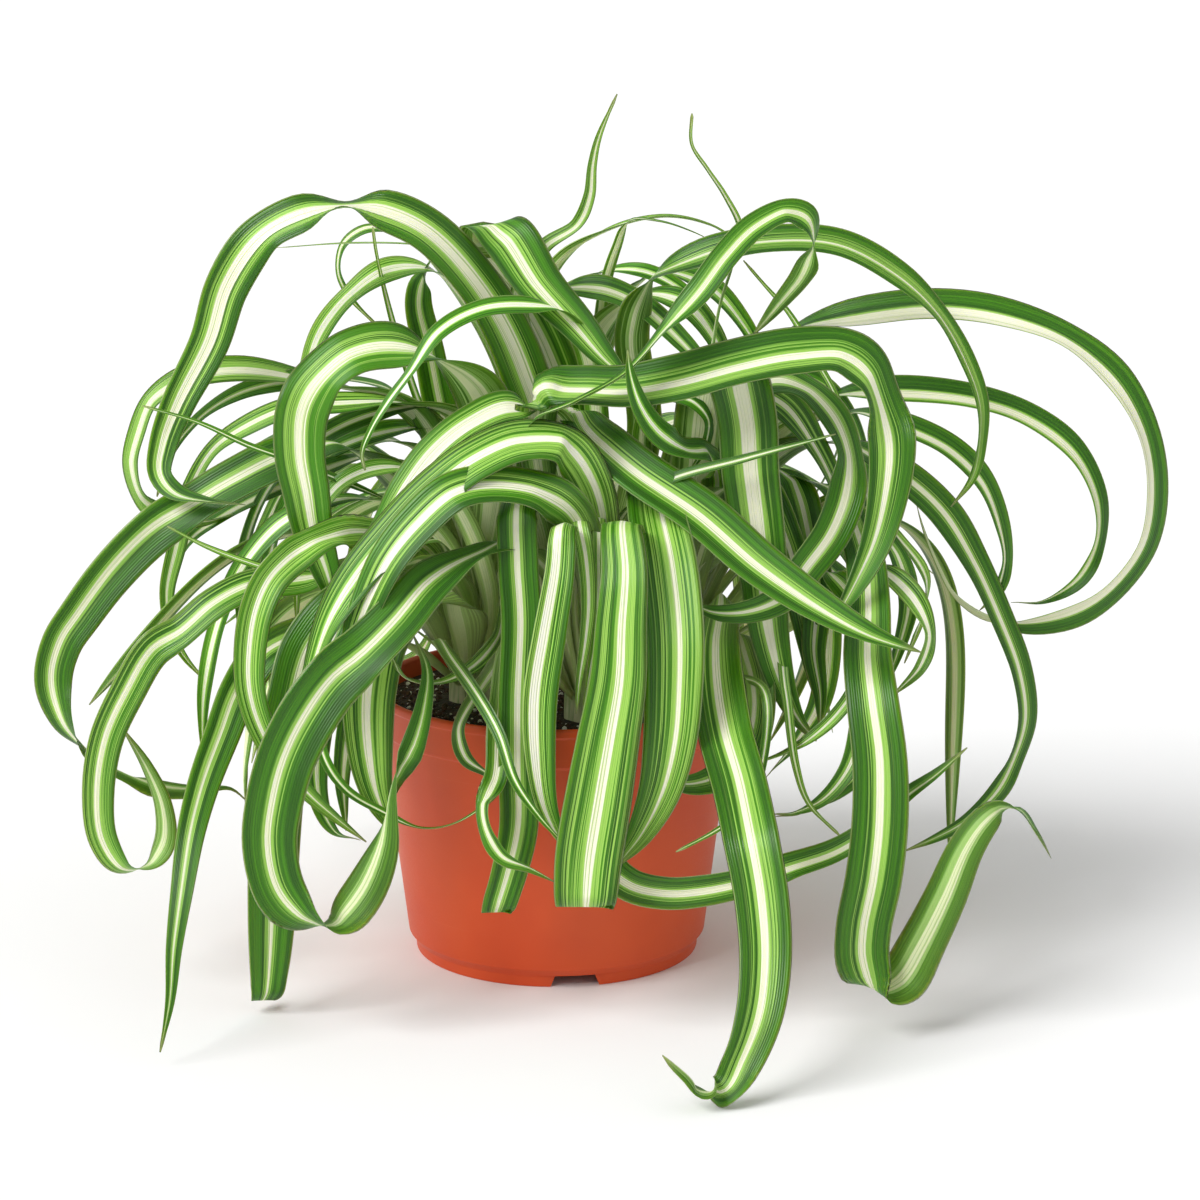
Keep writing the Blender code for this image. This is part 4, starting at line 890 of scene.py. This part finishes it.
def make_plant(name, leaves, materials, rng):
    """One mesh of a crown and its leaves, with the stripes' values on its points."""
    shapes = [crown_shape(name)] + [fine_leaf(*leaf, look, rng) for leaf, look in leaves]
    faces, slots, start = [], [], 0
    tops = len(COLUMNS) - 1
    for shape in shapes:
        rows, sides = shape["points"].shape[:2]
        faces += tube(rows, sides, start)
        blade = ([0] * tops + [1] * (sides - tops)) * (rows - 1) + [0, 0]
        slots += blade if start else [2] * len(faces)
        start += rows * sides
    values = {key: np.vstack([shape[key].reshape(-1, 3) for shape in shapes]) for key in shapes[0]}
    mesh = bpy.data.meshes.new(f"{name}_leaves")
    mesh.from_pydata((values.pop("points") * MM).tolist(), [], faces)
    for key, stored in values.items():
        attribute = mesh.attributes.new(key, "FLOAT_VECTOR", "POINT")
        attribute.data.foreach_set("vector", stored.astype(np.float32).ravel())
    for material in materials:
        mesh.materials.append(material)
    mesh.polygons.foreach_set("material_index", slots)
    mesh.shade_smooth()
    mesh.update()
    piece = placed(f"{name}_leaves", mesh)
    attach(piece, "root")
    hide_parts(name)


# ---- pot


def wall_radius(height):
    """Outer radius of the pot's sloping wall at this height."""
    share = (height - STEP_HEIGHT) / (BAND_FOOT - STEP_HEIGHT)
    return WALL_FOOT_RADIUS + share * (WALL_TOP_RADIUS - WALL_FOOT_RADIUS)


def inner_profile(gap=0.0):
    """Inside of the pot from the lip's foot down to the middle of the floor, drawn in by the gap."""
    inward = WALL + gap
    floor = RAISED_FLOOR + inward
    return [
        (BAND_RADIUS - inward, BAND_FOOT + 1.8),
        (WALL_TOP_RADIUS - inward, BAND_FOOT),
        (wall_radius(floor) - inward, floor),
        (PAD_RADIUS + PAD_SLOPE - gap, floor),
        (PAD_RADIUS - inward, inward),
        (0.0, inward),
    ]


def pot_profile():
    """Radius and height from the middle of the floor, up the inside, over the lip and down again."""
    outside = [
        (BAND_RADIUS - WALL, POT_HEIGHT - 0.8),
        (BAND_RADIUS - WALL + 0.6, POT_HEIGHT),
        (RIM_RADIUS - 0.7, POT_HEIGHT),
        (RIM_RADIUS, POT_HEIGHT - 0.8),
        (RIM_RADIUS, POT_HEIGHT - LIP_HEIGHT + 0.6),
        (BAND_RADIUS, POT_HEIGHT - LIP_HEIGHT),
        (BAND_RADIUS - 0.3, BAND_FOOT + 0.7),
        (WALL_TOP_RADIUS, BAND_FOOT),
        (WALL_FOOT_RADIUS, STEP_HEIGHT),
        (WALL_FOOT_RADIUS - 0.5, STEP_HEIGHT - 0.6),
        (FOOT_RADIUS, FOOT_HEIGHT),
        (FOOT_RADIUS - 0.3, 0.0),
        (FOOT_RADIUS - 0.3 - SKIRT, 0.0),
        (FOOT_RADIUS - SKIRT, RAISED_FLOOR),
        (PAD_RADIUS + PAD_SLOPE, RAISED_FLOOR),
        (PAD_RADIUS, 0.0),
        (0.0, 0.0),
    ]
    return inner_profile()[::-1] + outside


def rounded(profile):
    """The profile with each of its corners, but for those on the axis, turned into a short curve."""
    points = [np.array(p) for p in profile]
    out = [points[0]]
    for before, corner, after in zip(points, points[1:], points[2:]):
        back, on = before - corner, after - corner
        reach = min(CORNER_RADIUS, 0.45 * np.linalg.norm(back), 0.45 * np.linalg.norm(on))
        start = corner + back / np.linalg.norm(back) * reach
        end = corner + on / np.linalg.norm(on) * reach
        for t in np.linspace(0.0, 1.0, CORNER_POINTS):
            out.append((1 - t) ** 2 * start + 2 * t * (1 - t) * corner + t * t * end)
    out.append(points[-1])
    return out


def lathe(name, profile, sides):
    """A closed solid of revolution from a profile that starts and ends on the axis."""
    mesh = bpy.data.meshes.new(name)
    edges = [(i, i + 1) for i in range(len(profile) - 1)]
    mesh.from_pydata([(r * MM, 0.0, z * MM) for r, z in profile], edges, [])
    item = placed(name, mesh)
    screw = item.modifiers.new("Screw", "SCREW")
    screw.steps = screw.render_steps = sides
    screw.use_merge_vertices = True
    screw.merge_threshold = 0.00001
    return item


def block(name, across, height, reach):
    """A cutter from this reach outwards past the pot's foot, with its widths at its foot and its top."""
    shape = bmesh.new()
    bmesh.ops.create_cube(shape, size=2.0)
    low, high = across
    for corner in shape.verts:
        width = high if corner.co.z > 0 else 2 * low - high
        x = reach + CUTTER_LENGTH / 2 * (corner.co.x + 1)
        corner.co = (x, corner.co.y * width / 2, corner.co.z * height)
        corner.co *= MM
    outward = [e for e in shape.edges if abs(e.verts[0].co.x - e.verts[1].co.x) > 0.01]
    top = [e for e in outward if min(v.co.z for v in e.verts) > 0]
    bmesh.ops.bevel(shape, geom=top, offset=SLOT_ROUNDING * MM, segments=4, profile=0.5, affect="EDGES")
    return shaped(name, shape)


def drain(name, bearing):
    """A round cutter through the raised floor."""
    shape = bmesh.new()
    low, high = RAISED_FLOOR - 1.0, RAISED_FLOOR + WALL + 1.0
    x, y = DRAIN_DISTANCE * np.cos(bearing), DRAIN_DISTANCE * np.sin(bearing)
    bmesh.ops.create_cone(
        shape,
        cap_ends=True,
        segments=32,
        radius1=DRAIN_RADIUS * MM,
        radius2=DRAIN_RADIUS * MM,
        depth=(high - low) * MM,
        matrix=Matrix.Translation((x * MM, y * MM, (low + high) / 2 * MM)),
    )
    return shaped(name, shape)


def pot_material():
    """Thin moulded plastic: an orange that varies a little, a fine matt grain and a few rubbed marks."""
    look = Look("terracotta_plastic")
    spot = look.spot()
    colour = look.paint(look.step(look.noise(spot, 22.0, 3.0), 0.3, 0.7), rgb(206, 71, 20), rgb(214, 81, 28))
    rings = look.stretched(spot, (14.0, 14.0, 900.0))
    marks = look.step(look.noise(rings, 1.0, 3.0, 0.6), 0.66, 0.78)
    grain = look.noise(spot, 1500.0, 3.0, 0.6)
    relief = look.bump(grain, 0.00003, 0.5)
    return look.finished({
        "Base Color": look.paint(look.times(marks, 0.25), colour, rgb(222, 118, 82)),
        "Roughness": look.times(marks, 0.12, look.times(grain, 0.2, 0.38)),
        "Normal": look.bump(look.noise(spot, 60.0), 0.0002, 0.25, Normal=relief),
        "Specular IOR Level": 0.45,
    })


def make_pot():
    pot = lathe("pot_body", rounded(pot_profile()), POT_SIDES)
    cutters = []
    for k in range(SLOTS):
        slot = block(f"slot_{k}", SLOT_WIDTHS, SLOT_HEIGHT, SLOT_REACH)
        tab = block(f"tab_{k}", TAB_WIDTHS, TAB_HEIGHT, TAB_REACH)
        slot.rotation_euler[2] = tab.rotation_euler[2] = np.radians(SLOT_BEARING + 360.0 * k / SLOTS)
        cutters += [slot, tab]
    for k in range(DRAINS):
        cutters.append(drain(f"drain_{k}", np.radians(SLOT_BEARING + 360.0 * k / DRAINS)))
    for cutter in cutters:
        boolean = pot.modifiers.new(cutter.name, "BOOLEAN")
        boolean.operation = "DIFFERENCE"
        boolean.object = cutter
    applied(pot)
    for cutter in cutters:
        bpy.data.objects.remove(cutter)
    pot.data.shade_smooth()
    pot.data.set_sharp_from_angle(angle=np.radians(SHARP_DEGREES))
    pot.data.materials.append(pot_material())
    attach(pot, "root")
    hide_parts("pot")


# ---- soil


# Soil and grains: name, scale and detail of the lumps, where their colour turns from painted shade to painted
# light, the painted shade colour of the hollows and the painted light colour of the tops, height and strength
# of the relief, roughness
PEAT = ("potting_soil", 420.0, 4.0, (0.35, 0.65), (22, 15, 11), (66, 47, 35), (0.0012, 0.8), 0.92)
PERLITE = ("perlite", 2400.0, 3.0, (0.35, 0.6), (196, 190, 176), (238, 235, 226), (0.0003, 0.7), 0.85)
BARK = ("bark_crumb", 900.0, 3.0, (0.3, 0.7), (28, 18, 12), (88, 60, 40), (0.0004, 0.8), 0.9)


def lumps_with_painted_shade(name, scale, detail, ends, dark, light, relief, roughness, speckled=False):
    """Crumbs or pores with painted shade and light: dark in the hollows between them and lighter on their
    tops, with pale specks if need be.
    """
    look = Look(name)
    spot = look.spot()
    lumps = look.noise(spot, scale, detail, 0.7)
    # Painted shade and light: the colour is dark where the lumps' relief is low and light where it is high.
    colour = look.paint(look.step(lumps, *ends), rgb(*dark), rgb(*light))
    if speckled:
        specks = look.step(look.noise(spot, 1400.0, 1.0), 0.71, 0.74)
        colour = look.paint(specks, colour, rgb(190, 182, 168))
    return look.finished({"Base Color": colour, "Normal": look.bump(lumps, *relief), "Roughness": roughness})


def soil_height(x, y):
    """Height of the soil's surface before its lumps."""
    heights = [SOIL_TOP, SOIL_TOP - 0.2, SOIL_TOP - 0.9, SOIL_EDGE + 0.7, SOIL_EDGE]
    return float(np.interp(np.hypot(x, y), [0, 20, 40, 50, 60], heights))


def make_soil():
    """The filling of the pot as one closed lump, with a crumbly top."""
    edge = BAND_RADIUS - WALL - CLEARANCE
    surface = [(0.0, SOIL_TOP)]
    surface += [(radius, soil_height(radius, 0.0)) for radius in np.arange(SOIL_RING, edge, SOIL_RING)]
    surface.append((edge, SOIL_EDGE))
    soil = applied(lathe("soil_filling", surface + inner_profile(CLEARANCE), SOIL_SIDES))
    mesh = soil.data
    points = np.empty(len(mesh.vertices) * 3, np.float32)
    mesh.vertices.foreach_get("co", points)
    points = points.reshape(-1, 3)
    lumps = np.zeros(len(points))
    rng = np.random.default_rng(SOIL_SEED)
    for size, height in SOIL_LUMPS:
        for spot in rng.uniform(-LUMP_REACH, LUMP_REACH, (int(9000 / size**2), 2)) * MM:
            near = np.exp(-((points[:, :2] - spot) ** 2).sum(1) / (size * MM) ** 2)
            lumps = np.maximum(lumps, near * height * rng.uniform(0.3, 1.0))
    top = points[:, 2] > (SOIL_EDGE - 0.5) * MM
    inside = np.clip((edge - np.hypot(points[:, 0], points[:, 1]) / MM) / 3, 0, 1)
    points[:, 2] += np.where(top, (lumps - 0.45) * inside, 0.0) * MM
    mesh.vertices.foreach_set("co", points.ravel())
    mesh.shade_smooth()
    mesh.materials.append(lumps_with_painted_shade(*PEAT, speckled=True))
    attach(soil, "root")
    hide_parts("soil")


def scatter_tree():
    """Geometry nodes that strew lumps of one material over a surface."""
    tree = bpy.data.node_groups.new("scatter", "GeometryNodeTree")
    kinds = {"Geometry": "Geometry", "Spacing": "Float", "Smallest": "Float", "Largest": "Float"}
    for label, kind in {**kinds, "Seed": "Int", "Material": "Material"}.items():
        tree.interface.new_socket(label, in_out="INPUT", socket_type=f"NodeSocket{kind}")
    tree.interface.new_socket("Geometry", in_out="OUTPUT", socket_type="NodeSocketGeometry")

    def add(kind, inputs=None, **settings):
        return node(tree, kind, inputs, **settings).outputs

    given = add("NodeGroupInput")
    seed = given["Seed"]
    spread = {"Mesh": given["Geometry"], "Distance Min": given["Spacing"], "Density Max": GRAIN_DENSITY}
    points = add("GeometryNodeDistributePointsOnFaces", {**spread, "Seed": seed}, distribute_method="POISSON")
    ball = add("GeometryNodeMeshUVSphere", {"Radius": 1.0, "Segments": 7, "Rings": 5})
    place = add("GeometryNodeInputPosition")
    rough = add("ShaderNodeTexNoise", {"Vector": place[0], "Scale": 1.6, "Detail": 1.0})
    push = add("ShaderNodeVectorMath", {0: rough["Color"], 1: (0.5, 0.5, 0.5)}, operation="SUBTRACT")
    lump = add("GeometryNodeSetPosition", {"Geometry": ball["Mesh"], "Offset": push[0]})
    sizes = {2: given["Smallest"], 3: given["Largest"], "Seed": seed}
    size = add("FunctionNodeRandomValue", sizes, data_type="FLOAT")
    turns = {0: (0.0, 0.0, 0.0), 1: (6.28, 6.28, 6.28)}
    turn = add("FunctionNodeRandomValue", turns, data_type="FLOAT_VECTOR")
    lumps = {"Points": points["Points"], "Instance": lump[0], "Rotation": turn[0], "Scale": size[1]}
    real = add("GeometryNodeRealizeInstances", {0: add("GeometryNodeInstanceOnPoints", lumps)[0]})
    dressed = add("GeometryNodeSetMaterial", {"Geometry": real[0], "Material": given["Material"]})
    add("NodeGroupOutput", {0: dressed[0]})
    return tree


def bed(name):
    """A surface just under the soil's top, clear of the crowns, for grains to sit on."""
    shape = bmesh.new()
    steps = np.arange(-56.0, 56.1, BED_STEP)
    grid = {}
    for i, x in enumerate(steps):
        for j, y in enumerate(steps):
            gap = min(np.hypot(x - cx, y - cy) for cx, cy in CROWNS.values())
            if np.hypot(x, y) < BED_RADIUS and gap > CROWN_RADIUS + BED_GAP:
                grid[i, j] = shape.verts.new((x * MM, y * MM, (soil_height(x, y) - BED_DEPTH) * MM))
    for i, j in grid:
        corners = [(i, j), (i + 1, j), (i + 1, j + 1), (i, j + 1)]
        if all(corner in grid for corner in corners):
            shape.faces.new([grid[corner] for corner in corners])
    return shaped(name, shape)


def strew(name, tree, material, seed, spacing, smallest, largest):
    """Grains over the soil as one piece."""
    item = bed(name)
    modifier = item.modifiers.new("Scatter", "NODES")
    modifier.node_group = tree
    values = {"Seed": seed, "Material": material}
    values |= {"Spacing": spacing * MM, "Smallest": smallest * MM, "Largest": largest * MM}
    for socket in tree.interface.items_tree:
        if socket.in_out == "INPUT" and socket.name in values:
            modifier[socket.identifier] = values[socket.name]
    applied(item)
    item.data.shade_smooth()
    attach(item, "root")


# ---- surroundings

WHITE = (1.0, 1.0, 1.0, 1.0)
FLOOR_GREY = (0.9, 0.9, 0.9, 1.0)
WORLD_STRENGTH = 0.55
# Lamps: name, where it shines from, how wide it looks in degrees, strength
SUNS = (
    ("key", (-1.3, -1.0, 1.5), 34.0, 2.85),
    ("fill", (1.2, -1.0, 0.9), 60.0, 0.2),
)
CAMERA_PLACE = (0.0145, -1.26, 0.425)
CAMERA_TILT = 76.3
FOCAL_LENGTH = 118.35


def make_floor():
    bpy.ops.mesh.primitive_circle_add(vertices=96, radius=14.0, fill_type="NGON", location=(0, 0, 0))
    floor = bpy.context.active_object
    floor.name = "floor"
    looks = {"Base Color": FLOOR_GREY, "Roughness": 0.9, "Specular IOR Level": 0.1}
    floor.data.materials.append(Look("pale_floor").finished(looks))


def make_light():
    world = bpy.data.worlds.new("studio")
    world.use_nodes = True
    tree = world.node_tree
    fill(tree, tree.nodes["Background"], {"Color": WHITE, "Strength": WORLD_STRENGTH})
    bpy.context.scene.world = world
    for name, place, angle, strength in SUNS:
        lamp = bpy.data.lights.new(name, "SUN")
        lamp.angle = np.radians(angle)
        lamp.energy = strength
        placed(name, lamp).rotation_euler = (-Vector(place)).to_track_quat("-Z", "Y").to_euler()


def make_camera():
    lens = bpy.data.cameras.new("camera")
    lens.lens = FOCAL_LENGTH
    camera = placed("camera", lens)
    camera.location = CAMERA_PLACE
    camera.rotation_euler = (np.radians(CAMERA_TILT), 0.0, 0.0)
    bpy.context.scene.camera = camera


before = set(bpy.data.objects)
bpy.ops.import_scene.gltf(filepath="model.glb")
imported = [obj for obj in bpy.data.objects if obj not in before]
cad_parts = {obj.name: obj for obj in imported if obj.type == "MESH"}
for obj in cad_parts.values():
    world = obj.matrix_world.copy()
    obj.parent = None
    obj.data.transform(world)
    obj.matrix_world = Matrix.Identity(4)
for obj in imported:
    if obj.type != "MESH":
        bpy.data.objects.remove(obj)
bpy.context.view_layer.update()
bpy.context.scene.view_settings.view_transform = "Standard"
make_camera()
make_light()
make_floor()
make_pot()
make_soil()
scatter = scatter_tree()
strew("perlite_grains", scatter, lumps_with_painted_shade(*PERLITE), *PERLITE_GRAINS)
strew("bark_crumbs", scatter, lumps_with_painted_shade(*BARK), *BARK_CRUMBS)
materials = [
    leaf_material("leaf_upper", 0, 0.34, 1.0),
    # The lower side's greener cream is painted light shining through the leaves.
    leaf_material("leaf_lower", 1, 0.46, 1.6),
    crown_material(),
]
rng = np.random.default_rng(LEAF_SEED)
for plant, leaves in all_leaves().items():
    make_plant(plant, leaves, materials, rng)
